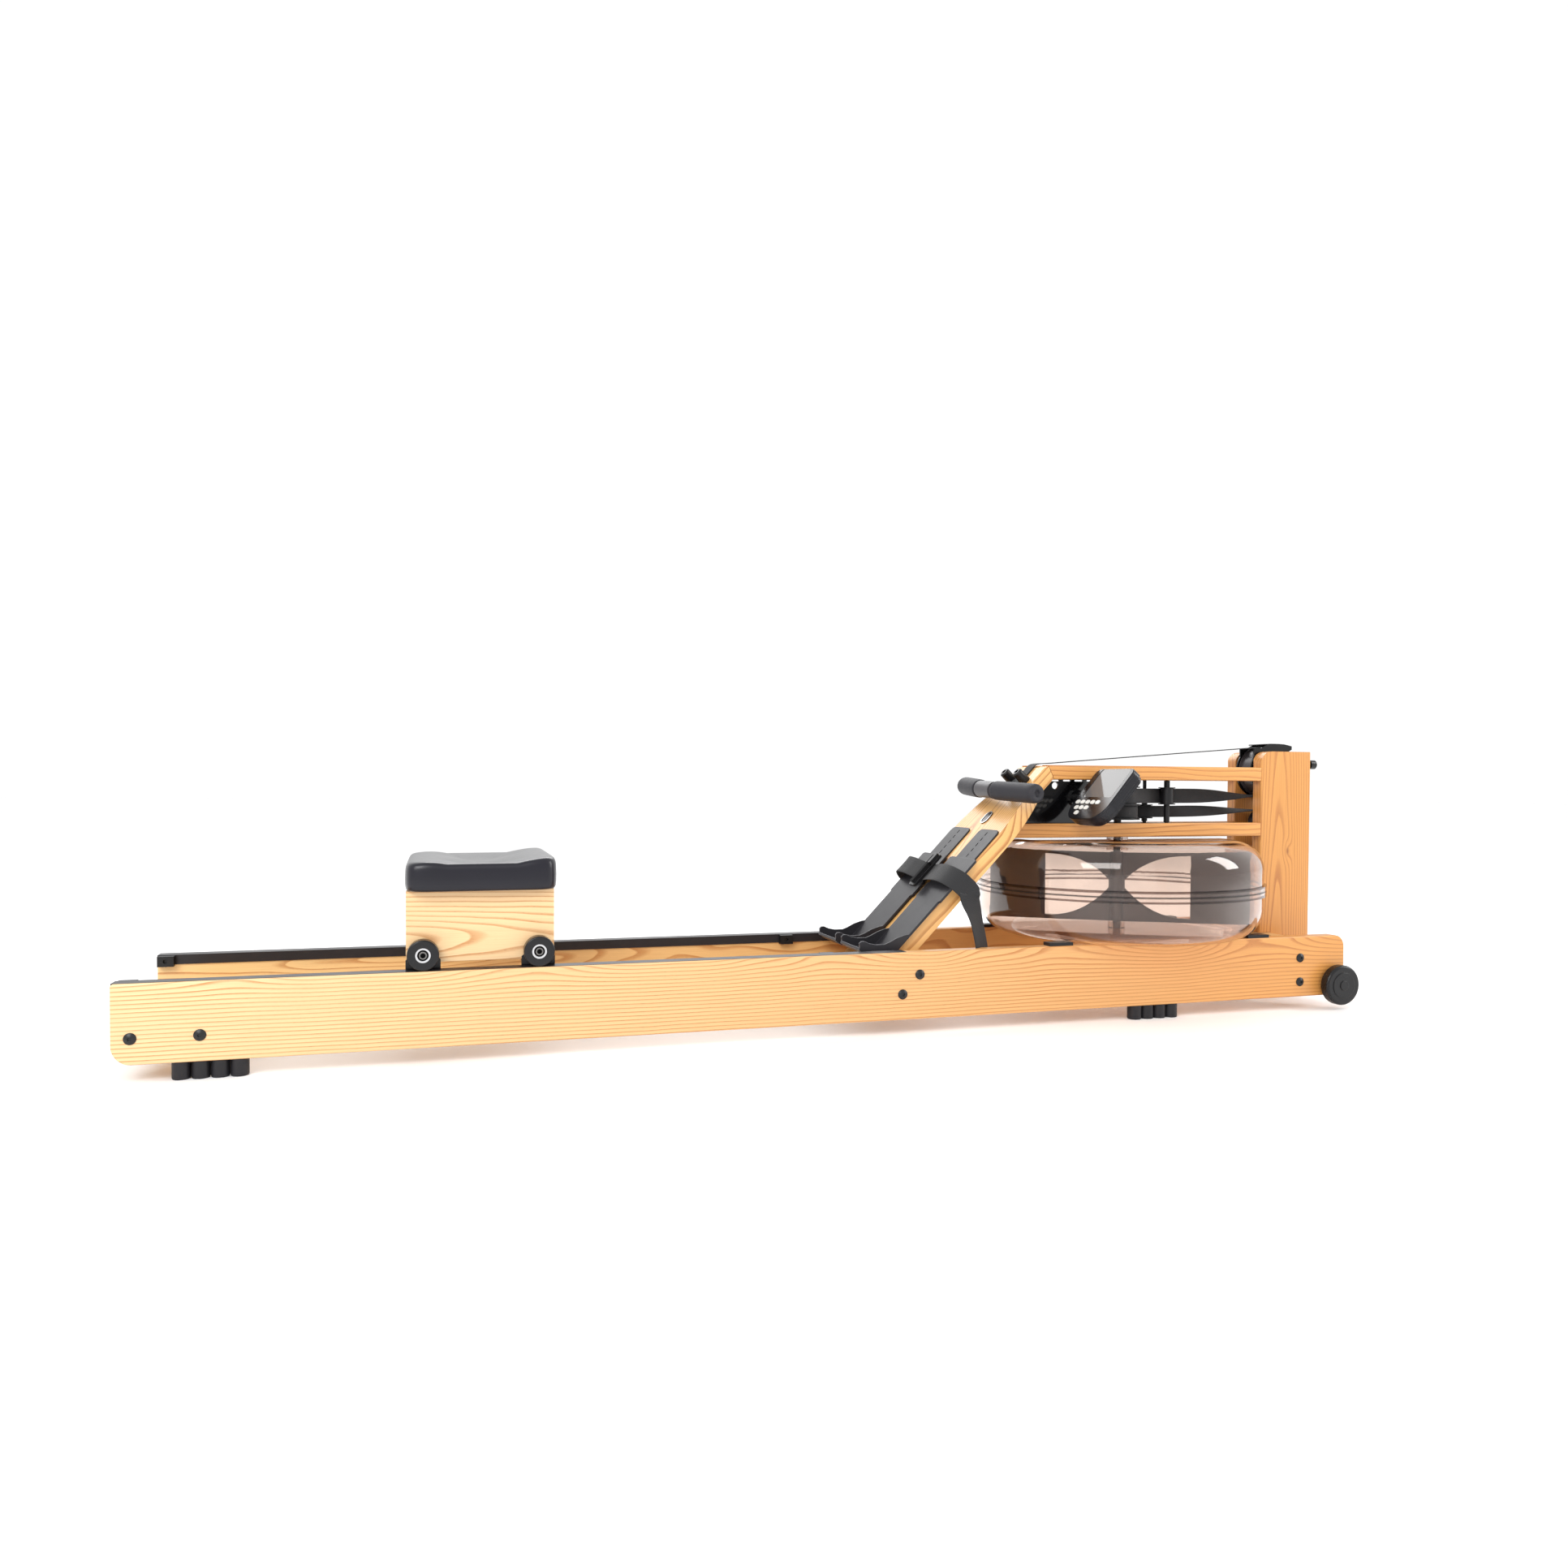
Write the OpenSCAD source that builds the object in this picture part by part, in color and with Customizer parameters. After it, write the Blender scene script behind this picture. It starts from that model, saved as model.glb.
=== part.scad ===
// Indoor water rower: ash frame, rolling seat, inclined foot board and a clear water tank.
// Millimetres. X runs from the rear end of the rails to the tank end, Y is across, Z is up.
// The origin is on the floor, at the centre of the length and of the width.
// Stations named *_x are measured along the rails from their rear end.

/* [Frame] */
// overall length, from the rear end of the rails to the screw knob at the tank end
overall_l = 2100; // [2100:1:2130]
// length of the two side rails
rail_l = 2074; // [2066:1:2080]
// height of the side rails
rail_h = 113; // [110:1:116]
// thickness of the frame boards
board_t = 25; // [24:0.5:26]
// width over the outside faces of the rails
frame_w = 299; // [297:1:303]
// height of the rails' lower edge above the floor, which is the height of the feet
rail_z = 25; // [22:1:26]
// corner radius at the rear end of the rails, lower corner
rear_corner_r = 28; // [10:1:34]
// corner radius at the tank end of the rails
front_corner_r = 22; // [8:1:30]
// radius rounded along the edges of the boards
edge_r = 3; // [1:0.5:4]
// station of the posts' rear faces
post_x = 1963.7; // [1960:0.1:1966]
// width of the posts along the machine
post_w = 116.8; // [110:0.1:118]
// height of the top of the posts above the floor
post_top = 487.4; // [484:0.1:490]
// half of the width over the posts and the arms
arm_out_y = 50.3; // [50:0.1:52]
// height of the top of the upper arms above the floor
upper_arm_top = 455.6; // [454:0.1:457]
// height of the top of the lower arms above the floor
lower_arm_top = 347.9; // [346:0.1:349]
// depth of the arms
arm_h = 26; // [24:0.5:27]

/* [Foot board] */
// slope of the foot board from the floor, in degrees
board_slope = 46; // [45.5:0.1:46.5]
// station where the board's face passes the level board_z
board_x = 1183; // [1181:0.5:1185]
// height of that point above the floor
board_z = 134; // [133:0.5:135]
// thickness of the foot board
foot_board_t = 27.4; // [26:0.1:28]
// half of the width of the foot board's wide part
foot_board_y = 96; // [92:1:98]
// width of the webbing of the foot strap
webbing_w = 38; // [30:1:40]

/* [Seat] */
// station of the rear wheels' axles
rear_wheel_x = 407.6; // [400:0.1:412]
// distance between the seat's front and rear axles
wheel_base = 168.5; // [166:0.1:170]
// radius of the seat wheels
wheel_r = 23; // [22:0.5:23.5]
// length of the seat's side boards
seat_side_l = 217; // [214:1:220]
// height of the underside of the seat pad above the floor
pad_z = 254.5; // [252:0.5:257]
// length of the seat pad
pad_l = 224; // [222:1:228]
// width of the seat pad
pad_w = 290; // [280:1:300]

/* [Handle] */
// station of the middle of the handle at rest
handle_x = 1400; // [1398:0.5:1402]
// height of the middle of the handle at rest
handle_z = 410; // [408:0.5:412]
// half of the length of the handle
handle_half = 141; // [136:1:144]
// diameter of the foam grips
grip_d = 35; // [33:0.5:36]
// angle by which each end of the handle is bent, in degrees
handle_bend = 11; // [8:0.5:12]

/* [Tank] */
// station of the tank's axis
tank_x = 1675.7; // [1674:0.1:1677]
// radius of the tank's walls
tank_r = 260.5; // [260:0.5:261.5]
// radius of the flange where the two halves meet
flange_r = 265.4; // [264:0.1:267]
// height of the underside of the tank
tank_z = 138.8; // [138.6:0.1:139.2]
// height of the top of the tank
tank_top = 318; // [316:0.5:319]
// height of the joint between the two halves
tank_joint_z = 228.4; // [227:0.1:230]
// thickness of the tank's walls
tank_wall = 4; // [3:0.5:5]
// outer radius of the paddle
paddle_r = 240; // [236:1:241]
// angle of the paddle's blades from the length of the machine, in degrees
paddle_turn = -32; // [-40:1:40]

/* [Monitor] */
// width of the monitor's face
monitor_w = 120; // [116:1:124]
// slope of the monitor's face from the floor, in degrees
monitor_slope = 50; // [44:1:54]
// thickness of the monitor behind its face
monitor_t = 28; // [26:1:30]

/* [Hidden] */
$fn = 96;

ash = [0.86, 0.66, 0.40];
black = [0.09, 0.09, 0.10];
dark_grey = [0.20, 0.20, 0.22];
steel = [0.72, 0.73, 0.75];
smoke = [0.80, 0.74, 0.70, 0.35];

rear = -overall_l / 2;
out_y = frame_w / 2;
in_y = out_y - board_t;
rail_top = rail_z + rail_h;
track_top = rail_top + 0.4;
track_t = 3;
track_w = 22;
track_l = 1178;
lip_t = 2.5;
lip_z = rail_top - 15;
arm_in_y = arm_out_y - board_t;
fit_gap = 0.06;
bolt_r = 4;
bolt_hole_r = 4.1;
cos_b = cos(board_slope);
sin_b = sin(board_slope);
axle_z = track_top + wheel_r + 0.1;
front_wheel_x = rear_wheel_x + wheel_base;
seat_side_x = rear_wheel_x - 24.6;
seat_side_out = 122;
seat_side_t = 19;
seat_side_z = 148;
seat_base_t = 18;
pulley_x = 2016;
pulley_z = 449.5;
pulley_r = 47.5;
recoil_z = 346;
recoil_r = 25;
strap_t = 1.6;
drive_w = 28;
recoil_w = 22;
drive_z = 399.5;
recoil_mid_z = 369;
drum_r = 35;
shaft_r = 7;
window_lo = lower_arm_top;
window_hi = upper_arm_top - arm_h;

// bolt positions along the rail: station and height
rail_bolts_at = [[24, 62], [111, 62.5], [1974, 53], [1974, 98]];
foot_bolts_at = [-12, -56.5];
foot_bolt_depth = 36.4;

function board_point(d, e) = [
  rear + board_x + d * cos_b - e * sin_b,
  board_z + d * sin_b + e * cos_b
];

// ---------- shapes used by several pieces ----------

// rectangle with its own radius at each corner
module corner_plate(l, h, low_rear, low_front, top_front, top_rear) {
  polygon([
    [low_rear, 0], [l - low_front, 0], [l, low_front], [l, h - top_front],
    [l - top_front, h], [top_rear, h], [0, h - top_rear], [0, low_rear]
  ]);
  translate([low_rear, low_rear]) circle(low_rear);
  translate([l - low_front, low_front]) circle(low_front);
  translate([l - top_front, h - top_front]) circle(top_front);
  translate([top_rear, h - top_rear]) circle(top_rear);
}

module round_rect(l, h, r) {
  corner_plate(l, h, r, r, r, r);
}

// stadium-shaped outline centred on the origin
module stadium(l, w) {
  square([l - w, w], center = true);
  translate([l / 2 - w / 2, 0]) circle(w / 2);
  translate([w / 2 - l / 2, 0]) circle(w / 2);
}

// bar along X whose long edges are rounded
module soft_bar(l, t, h) {
  rotate([90, 0, 90]) linear_extrude(l) round_rect(t, h, edge_r);
}

// side view outline turned into a board of thickness t that starts at y = 0 and runs to -t
module side_board(t) {
  rotate([90, 0, 0]) linear_extrude(t) children();
}

module both_sides() {
  children();
  mirror([0, 1, 0]) children();
}

// cylinder along Y from y0 to y1
module cross_rod(r, y0, y1) {
  translate([0, y1, 0]) rotate([90, 0, 0]) cylinder(r = r, h = y1 - y0);
}

// wheel-like disc along Y, centred on y, with rounded rims
module soft_disc(r, w, e, bore) {
  rotate([90, 0, 0]) rotate_extrude() difference() {
    union() {
      translate([0, -w / 2]) square([r - e, w]);
      translate([0, e - w / 2]) square([r, w - 2 * e]);
      translate([r - e, e - w / 2]) circle(e, $fn = 32);
      translate([r - e, w / 2 - e]) circle(e, $fn = 32);
    }
    translate([-r, -w]) square([r + bore, 2 * w]);
  }
}

// frame lying on the foot board: X up the slope, Z out of its face
module on_board() {
  translate([rear + board_x, 0, board_z]) rotate([0, -board_slope, 0]) children();
}

// ---------- side rails and cross pieces ----------

module rail() {
  difference() {
    intersection() {
      translate([rear, -in_y, rail_z]) side_board(board_t)
        corner_plate(rail_l, rail_h, rear_corner_r, front_corner_r, front_corner_r, 4);
      translate([rear, -out_y, rail_z]) soft_bar(rail_l, board_t, rail_h);
    }
    translate([rear - 1, -in_y - track_w, track_top - track_t])
      cube([track_l + 1, track_w + 1, 10]);
    for (b = rail_bolts_at)
      translate([rear + b[0], 0, b[1]]) cross_rod(bolt_hole_r, -out_y - 1, -in_y + 1);
    for (d = foot_bolts_at)
      translate([board_point(d, -foot_bolt_depth)[0], 0, board_point(d, -foot_bolt_depth)[1]])
        cross_rod(bolt_hole_r, -out_y - 1, -in_y + 1);
    translate([rear + castor_x, 0, castor_z]) cross_rod(castor_pin_r + 0.1, -out_y - 1, -in_y + 1);
  }
}

module rail_right() {
  color(ash) rail();
}

module rail_left() {
  color(ash) mirror([0, 1, 0]) rail();
}

module bolt_bores(points) {
  for (b = points)
    translate([rear + b[0], 0, b[1]]) both_sides()
      cross_rod(bolt_hole_r, -in_y - 1, -in_y + 36);
}

module rear_crossbar() {
  color(ash) difference() {
    translate([rear + 8, -in_y + 0.1, 50]) cube([120, 2 * in_y - 0.2, board_t]);
    bolt_bores([rail_bolts_at[0], rail_bolts_at[1]]);
  }
}

module front_crossbar() {
  color(ash) difference() {
    translate([rear + 1961.7, -in_y + 0.1, 31]) cube([board_t, 2 * in_y - 0.2, 101.5]);
    bolt_bores([rail_bolts_at[2], rail_bolts_at[3]]);
  }
}

module foot_crossbar() {
  color(ash) difference() {
    on_board() translate([-82, -in_y + 0.1, -foot_board_t - 19.2])
      cube([90, 2 * in_y - 0.2, 19]);
    for (d = foot_bolts_at)
      translate([board_point(d, -foot_bolt_depth)[0], 0, board_point(d, -foot_bolt_depth)[1]])
        both_sides() cross_rod(bolt_hole_r, -in_y - 1, -in_y + 36);
  }
}

// button-head bolt with a hexagon socket, head outside the near rail
module rail_bolt() {
  difference() {
    union() {
      cross_rod(bolt_r, -out_y - 1, -in_y + 34);
      intersection() {
        cross_rod(8.3, -out_y - 3.8, -out_y - 0.05);
        translate([0, -out_y + 9, 0]) sphere(12.9);
      }
    }
    translate([0, -out_y - 1.8, 0]) rotate([90, 0, 0]) cylinder(r = 2.9, h = 4, $fn = 6);
  }
}

module rail_bolts() {
  color(black) both_sides() {
    for (b = rail_bolts_at)
      translate([rear + b[0], 0, b[1]]) rail_bolt();
    for (d = foot_bolts_at)
      translate([board_point(d, -foot_bolt_depth)[0], 0, board_point(d, -foot_bolt_depth)[1]])
        rail_bolt();
  }
}

// ---------- posts and arms ----------

module post() {
  foot_x = 1987;
  crossbar_top = 133;
  difference() {
    intersection() {
      translate([rear + post_x, -arm_in_y, 45]) side_board(board_t)
        corner_plate(post_w, post_top - 45, 2, 2, 4, 24);
      translate([rear + post_x, -arm_out_y, 45])
        linear_extrude(post_top) round_rect(post_w, board_t, edge_r);
    }
    translate([rear + post_x - 1, -arm_out_y - 1, 40])
      cube([foot_x - post_x + 1, board_t + 2, crossbar_top - 40]);
    translate([rear + pulley_x, 0, pulley_z]) cross_rod(pin_hole_r, -40, -arm_in_y + 1);
    translate([rear + pulley_x, 0, recoil_z]) cross_rod(pin_hole_r, -40, -arm_in_y + 1);
    translate([rear + post_x + post_w - 20, -38, guard_screw_z])
      rotate([0, 90, 0]) cylinder(r = 3.2, h = 30);
  }
}

module post_right() {
  color(ash) post();
}

module post_left() {
  color(ash) mirror([0, 1, 0]) post();
}

module upper_arm() {
  low = upper_arm_top - arm_h - 0.4;
  intersection() {
    translate([rear, -arm_in_y, 0]) side_board(board_t) polygon([
      [1496.6, upper_arm_top + 1], [post_x - 0.1, upper_arm_top + 1],
      [post_x - 0.1, low - 1], [1509.6, low - 1]
    ]);
    translate([rear + 1450, -arm_out_y, low])
      soft_bar(600, board_t, upper_arm_top - low);
  }
}

module lower_arm() {
  low = lower_arm_top - arm_h + 0.4;
  top_end = board_point(0, -foot_board_t - 0.1);
  slope = cos_b / sin_b;
  intersection() {
    translate([rear, -arm_in_y, 0]) side_board(board_t) polygon([
      [top_end[0] - rear + (lower_arm_top + 1 - top_end[1]) * slope, lower_arm_top + 1],
      [post_x - 0.1, lower_arm_top + 1],
      [post_x - 0.1, low - 1],
      [top_end[0] - rear + (low - 1 - top_end[1]) * slope, low - 1]
    ]);
    translate([rear + 1350, -arm_out_y, low])
      soft_bar(700, board_t, lower_arm_top - low);
  }
}

module arms() {
  color(ash) both_sides() {
    upper_arm();
    lower_arm();
  }
}

// ---------- foot board ----------

neck_start = 265;
neck_run = 140;

function board_half(d) = d < neck_start
  ? foot_board_y
  : max(arm_out_y, arm_out_y
      + (foot_board_y - arm_out_y) * (1 - pow((d - neck_start) / neck_run, 2)));

module foot_board() {
  steps = 12;
  low_d = -78;
  top_d = 452;
  edge = concat(
    [[low_d, foot_board_y]],
    [for (i = [0:steps]) [
      neck_start + neck_run * i / steps,
      board_half(neck_start + neck_run * i / steps)
    ]],
    [[top_d, arm_out_y]]
  );
  other = [for (i = [len(edge) - 1:-1:0]) [edge[i][0], -edge[i][1]]];
  color(ash) on_board() intersection() {
    translate([0, 0, -foot_board_t]) linear_extrude(foot_board_t) polygon(concat(edge, other));
    translate([0, 150, 0]) side_board(300) polygon([
      [low_d, 0], [440, 0], [448, -4], [438.6, -foot_board_t], [low_d, -foot_board_t]
    ]);
  }
}

module badge() {
  color(steel) on_board() translate([311, 0, 0.05]) difference() {
    linear_extrude(2.2) stadium(30, 22);
    translate([0, 0, 1.4]) linear_extrude(2) stadium(26, 18);
  }
}

plate_y = 56.5;
plate_w = 73;
slot_pitch = 13;

module foot_plates() {
  color(dark_grey) on_board() both_sides()
    translate([24, -plate_y - plate_w / 2, 0.05]) difference() {
      linear_extrude(3) corner_plate(257, plate_w, 6, 10, 10, 6);
      for (i = [0:8])
        translate([246 - slot_pitch * i, plate_w / 2, -1])
          linear_extrude(5) stadium(8, 3);
    }
}

rest_y = 60;
rest_base = 3.4;
rest_t = 4;
rest_bend_r = 30;

// underside of the cup's end: distance from the bend, then its rise
cup_lip = [[24, 0], [32, 0.8], [39, 3], [45, 6.5], [50, 11]];

// side profile of a heel rest in the board's frame: flat, bend, then the level cup
function bend_point(r, a) = [r * sin(-a), rest_base + rest_bend_r - r * cos(a)];

function cup_point(along, up) = [
  bend_point(rest_bend_r - up, board_slope)[0] - along * cos(board_slope),
  bend_point(rest_bend_r - up, board_slope)[1] + along * sin(board_slope)
];

module heel_profile() {
  steps = 16;
  inner_r = rest_bend_r - rest_t;
  polygon(concat(
    [[208, rest_base], [208, rest_base + rest_t]],
    [for (i = [0:steps]) bend_point(inner_r, board_slope * i / steps)],
    [for (p = cup_lip) cup_point(p[0], p[1] + rest_t)],
    [for (i = [len(cup_lip) - 1:-1:0]) cup_point(cup_lip[i][0] + 0.12 * cup_lip[i][1], cup_lip[i][1])],
    [for (i = [steps:-1:0]) bend_point(rest_bend_r, board_slope * i / steps)]
  ));
}

module heel_rest() {
  ear_d = [125, 190];
  on_board() {
    translate([0, -rest_y + 46, 0]) side_board(92) heel_profile();
    for (d = ear_d, s = [-1, 1])
      translate([d, -rest_y + s * 45, rest_base]) linear_extrude(rest_t) round_rect2(34, 12, 4);
    // raised rims at both sides of the cup
    for (s = [-1, 1])
      translate([0, -rest_y + s * 44.5 + 1.5, 0]) side_board(3) cup_rim();
  }
}

// rectangle centred on the origin with rounded corners
module round_rect2(l, h, r) {
  translate([-l / 2, -h / 2]) round_rect(l, h, r);
}

// raised edge along the cup and up its bend
module cup_rim() {
  steps = 8;
  foot = rest_t / 2;
  low = [for (i = [0:steps]) bend_point(rest_bend_r - foot, board_slope * i / steps)];
  end = [for (p = cup_lip) cup_point(p[0] - 0.4, p[1] + foot)];
  polygon(concat(
    [[34, rest_base + foot]], low, end,
    [cup_point(50.5, 22), cup_point(47, 25.5), cup_point(41, 25.5), cup_point(32, 21.5),
     cup_point(20, 19), cup_point(4, 19), [-2, rest_base + 21], [12, rest_base + 16],
     [25, rest_base + 9]]
  ));
}

module heel_rest_right() {
  color(dark_grey) heel_rest();
}

module heel_rest_left() {
  color(dark_grey) mirror([0, 1, 0]) heel_rest();
}

// ---------- foot strap ----------

strap_d = 158;

// unit normal of the route at point i
function route_normal(p, i) =
  let (a = p[max(i - 1, 0)], b = p[min(i + 1, len(p) - 1)], v = b - a, n = norm(v))
  [-v[1] / n, v[0] / n];

function ribbon(p, t) = concat(
  [for (i = [0:len(p) - 1]) p[i] + route_normal(p, i) * t / 2],
  [for (i = [len(p) - 1:-1:0]) p[i] - route_normal(p, i) * t / 2]
);

// route over both shoes, seen along the board: across the machine, then out of the board
strap_route = [
  [60, -29], [88, -29], [100, -28.6], [108, -24], [113, -14], [115, 0], [115, 10],
  [111, 19], [102, 26], [88, 30], [70, 30], [50, 26], [30, 20], [10, 17], [-10, 18],
  [-30, 23], [-50, 28], [-70, 31], [-88, 30], [-102, 25], [-111, 16], [-115, 5],
  [-115.5, -8], [-115.8, -22]
];

module foot_strap() {
  color(black) {
    on_board() translate([strap_d - webbing_w / 2, 0, 0]) rotate([90, 0, 90])
      linear_extrude(webbing_w) polygon(ribbon(strap_route, 2));
    tail_top = board_point(strap_d, -18);
    translate([tail_top[0], -115.8, tail_top[1]]) rotate([0, -14, 0])
      translate([-webbing_w / 2 - 0.5, -1.4, -112]) cube([webbing_w + 1, 2.8, 116]);
  }
}

module strap_buckle() {
  color(black) on_board() translate([strap_d, 2, 19.8]) {
    difference() {
      linear_extrude(4.5) round_rect2(76, 26, 5);
      for (s = [-1, 1])
        translate([0, s * 7.5, -1]) linear_extrude(8) round_rect2(42, 4, 1.5);
    }
    translate([-33, -5, 4.4]) rotate([90, 0, 90]) linear_extrude(64)
      polygon([[0, 0], [11, 0], [10, 5], [4, 7.5], [0, 5.5]]);
    translate([24, -2, 4.4]) linear_extrude(6.5) round_rect2(24, 20, 4);
  }
}

// ---------- handle ----------

peg_d = 405;
peg_y = 24;

module handle_pegs() {
  color(black) on_board() both_sides() translate([peg_d, -peg_y, 0.05]) difference() {
    union() {
      cylinder(r = 9.5, h = 24);
      translate([0, 0, 24]) cylinder(r1 = 9.5, r2 = 7, h = 2.5);
      cylinder(r = 9.9, h = 5);
    }
    translate([0, 0, 22]) cylinder(r = 4.4, h = 6);
  }
}

handle_tilt = 2.7;
middle_half = 28;

// frame at the middle of the handle
module at_handle() {
  translate([rear + handle_x, 0, handle_z]) rotate([handle_tilt, 0, 0]) children();
}

// one half of the handle, bent away from the rower
module bent_half(side) {
  mirror([0, side, 0]) translate([0, -middle_half + 4, 0]) rotate([0, 0, handle_bend])
    children();
}

module handle_bar() {
  color(dark_grey) at_handle() {
    cross_rod(15.6, -middle_half + 1, middle_half - 1);
    for (side = [0, 1])
      bent_half(side) cross_rod(12, -handle_half + middle_half + 6, 0);
  }
}

module handle_grips() {
  grip_l = handle_half - middle_half + 4;
  color(black) at_handle() for (side = [0, 1])
    bent_half(side) translate([0, -grip_l / 2 - 5.5, 0]) difference() {
      soft_disc(grip_d / 2, grip_l - 3, 5, 0);
      translate([0, 5, 0]) cross_rod(12.05, -grip_l / 2 + 6, grip_l);
    }
}

strap_nose_d = 441;

module handle_strap() {
  nose = board_point(strap_nose_d, 2.6);
  run_in = board_point(416, 2.2);
  start = [rear + handle_x + 14, handle_z + 12];
  end_x = rear + pulley_x - 0.3;
  end_z = pulley_z + pulley_r + 1.2;
  color(black) translate([0, drive_w / 2, 0]) side_board(drive_w) polygon(ribbon([
    start, board_point(384, 13), board_point(400, 6), run_in, board_point(430, 2.2), nose,
    [rear + 1500, upper_arm_top + 2.2], [rear + 1530, upper_arm_top + 4.5],
    [end_x, end_z]
  ], strap_t));
}

// ---------- straps, pulleys and drum at the tank end ----------

// groove pulley along Y
module groove_pulley(r, w, rim, bore) {
  rotate([90, 0, 0]) rotate_extrude() polygon([
    [bore, -w / 2], [rim, -w / 2], [rim, -w / 2 + 2], [r, -w / 2 + 3],
    [r, w / 2 - 3], [rim, w / 2 - 2], [rim, w / 2], [bore, w / 2]
  ]);
}

module top_pulley() {
  color([0.34, 0.34, 0.36]) translate([rear + pulley_x, 0, pulley_z])
    groove_pulley(pulley_r, 36, 51, pin_r + fit_gap);
}

module recoil_pulley() {
  color([0.34, 0.34, 0.36]) translate([rear + pulley_x, 0, recoil_z])
    groove_pulley(recoil_r, 30, 29, pin_r + fit_gap);
}

pin_r = 5;
pin_hole_r = 5.1;
castor_x = 2052.6;
castor_z = 46.3;
castor_r = 37.4;
castor_w = 20;
castor_pin_r = 5;
guard_screw_z = 462.6;

module frame_axles() {
  color(steel) {
    for (z = [pulley_z, recoil_z])
      translate([rear + pulley_x, 0, z]) cross_rod(pin_r, -39.8, 39.8);
    translate([rear + castor_x, 0, castor_z]) both_sides() {
      cross_rod(castor_pin_r, castor_cap + 0.3 - out_y - 5 - castor_w, -in_y + 4);
      cross_rod(9, -in_y + 0.05, -in_y + 5);
    }
  }
}

module pulley_guard() {
  cheek_in = 19;
  cheek_out = 22;
  color(black) translate([rear + pulley_x, 0, pulley_z]) {
    both_sides() difference() {
      translate([0, -cheek_in, 0]) rotate([90, 0, 0]) linear_extrude(cheek_out - cheek_in) {
        circle(54);
        translate([-46, 0]) square([46, 45]);
        polygon([[0, 53.9], [34, 51.5], [43, 49.8], [43, 43], [30, 36], [0, 20]]);
      }
      cross_rod(pin_r + 0.1, -40, 40);
    }
    translate([0, cheek_out, 0]) side_board(2 * cheek_out) polygon([
      [-24, 51.4], [0, 52.2], [24, 51.2], [43, 46], [43, 49.8], [34, 51.8],
      [24, 53.5], [10, 54.2], [-6, 54.2], [-24, 53.4]
    ]);
    // collars that keep the cheeks off the posts
    both_sides() difference() {
      cross_rod(9, -arm_in_y + 0.1, -cheek_out + 0.1);
      cross_rod(pin_r + 0.1, -40, 0);
    }
  }
}

module guard_screw() {
  color(black) translate([rear + post_x + post_w, -38, guard_screw_z]) rotate([0, 90, 0]) {
    translate([0, 0, -19]) cylinder(r = 3, h = 22);
    translate([0, 0, 0.05]) cylinder(r = 6, h = 6);
    translate([0, 0, 6]) cylinder(r = 9, h = overall_l - post_x - post_w - 7.5);
    translate([0, 0, overall_l - post_x - post_w - 1.55]) cylinder(r1 = 9, r2 = 7.5, h = 1.55);
  }
}

// upright ribbon along a route seen from above
module upright_ribbon(p, w, mid_z) {
  translate([0, 0, mid_z - w / 2]) linear_extrude(w) polygon(ribbon(p, strap_t));
}

module drum_strap() {
  flat_x = rear + pulley_x - 8;
  twist_x = rear + 1800;
  color(black) {
    upright_ribbon([
      [rear + tank_x, -drum_r - 2.4], [rear + 1700, -31], [rear + 1735, -18],
      [rear + 1758, -9.5], [rear + 1771, -6], [rear + 1784, -4.6], [twist_x, -4]
    ], drive_w, drive_z);
    hull() {
      translate([twist_x - 0.5, -4.8, drive_z - drive_w / 2]) cube([0.5, strap_t, drive_w]);
      translate([flat_x, -drive_w / 2, pulley_z - pulley_r - 1.9])
        cube([0.5, drive_w, strap_t]);
    }
    translate([rear + pulley_x, 0, pulley_z]) difference() {
      cross_rod(pulley_r + 0.3 + strap_t, -drive_w / 2, drive_w / 2);
      cross_rod(pulley_r + 0.3, -40, 40);
      translate([-100, -50, -45]) cube([100, 100, 150]);
      translate([-108, -50, -100]) cube([100, 100, 150]);
    }
  }
}

module recoil_strap() {
  twist_x = rear + 1790;
  flat_x = rear + pulley_x - 4;
  run_r = recoil_r + 0.3 + strap_t / 2;
  color(black) {
    upright_ribbon([
      [rear + tank_x, drum_r + 2.4], [rear + 1700, 30.6], [rear + 1730, 11.6],
      [rear + 1749, 5.5], [rear + 1765, 4], [twist_x, 3.2]
    ], recoil_w, recoil_mid_z);
    hull() {
      translate([twist_x - 0.5, 2.3, recoil_mid_z - recoil_w / 2 - 0.1])
        cube([0.5, strap_t + 0.2, recoil_w + 0.2]);
      translate([flat_x, -recoil_w / 2 - 0.1, recoil_z + recoil_r + 0.2])
        cube([0.5, recoil_w + 0.2, strap_t + 0.2]);
    }
    translate([rear + pulley_x, recoil_w / 2, recoil_z]) side_board(recoil_w)
      polygon(ribbon(concat(
        [[-3.8, run_r]],
        [for (a = [90:-7.5:0]) [run_r * cos(a), run_r * sin(a)]],
        [[run_r, -146], [12, -196], [-20, -224], [-27, -234], [-28.4, -250]]
      ), strap_t));
  }
}

module strap_drum() {
  color(dark_grey) translate([rear + tank_x, 0, 0]) difference() {
    union() {
      translate([0, 0, 354]) cylinder(r = 41, h = 2.5);
      translate([0, 0, 356.4]) cylinder(r = drum_r, h = 60);
      translate([0, 0, 381]) cylinder(r = 41, h = 3);
      translate([0, 0, 414.6]) cylinder(r = 41, h = 2.6);
    }
    translate([0, 0, 340]) cylinder(r = shaft_r + fit_gap, h = 90);
  }
}

roller_a = [1771, -20];
roller_b = [1749, 20];

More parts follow.
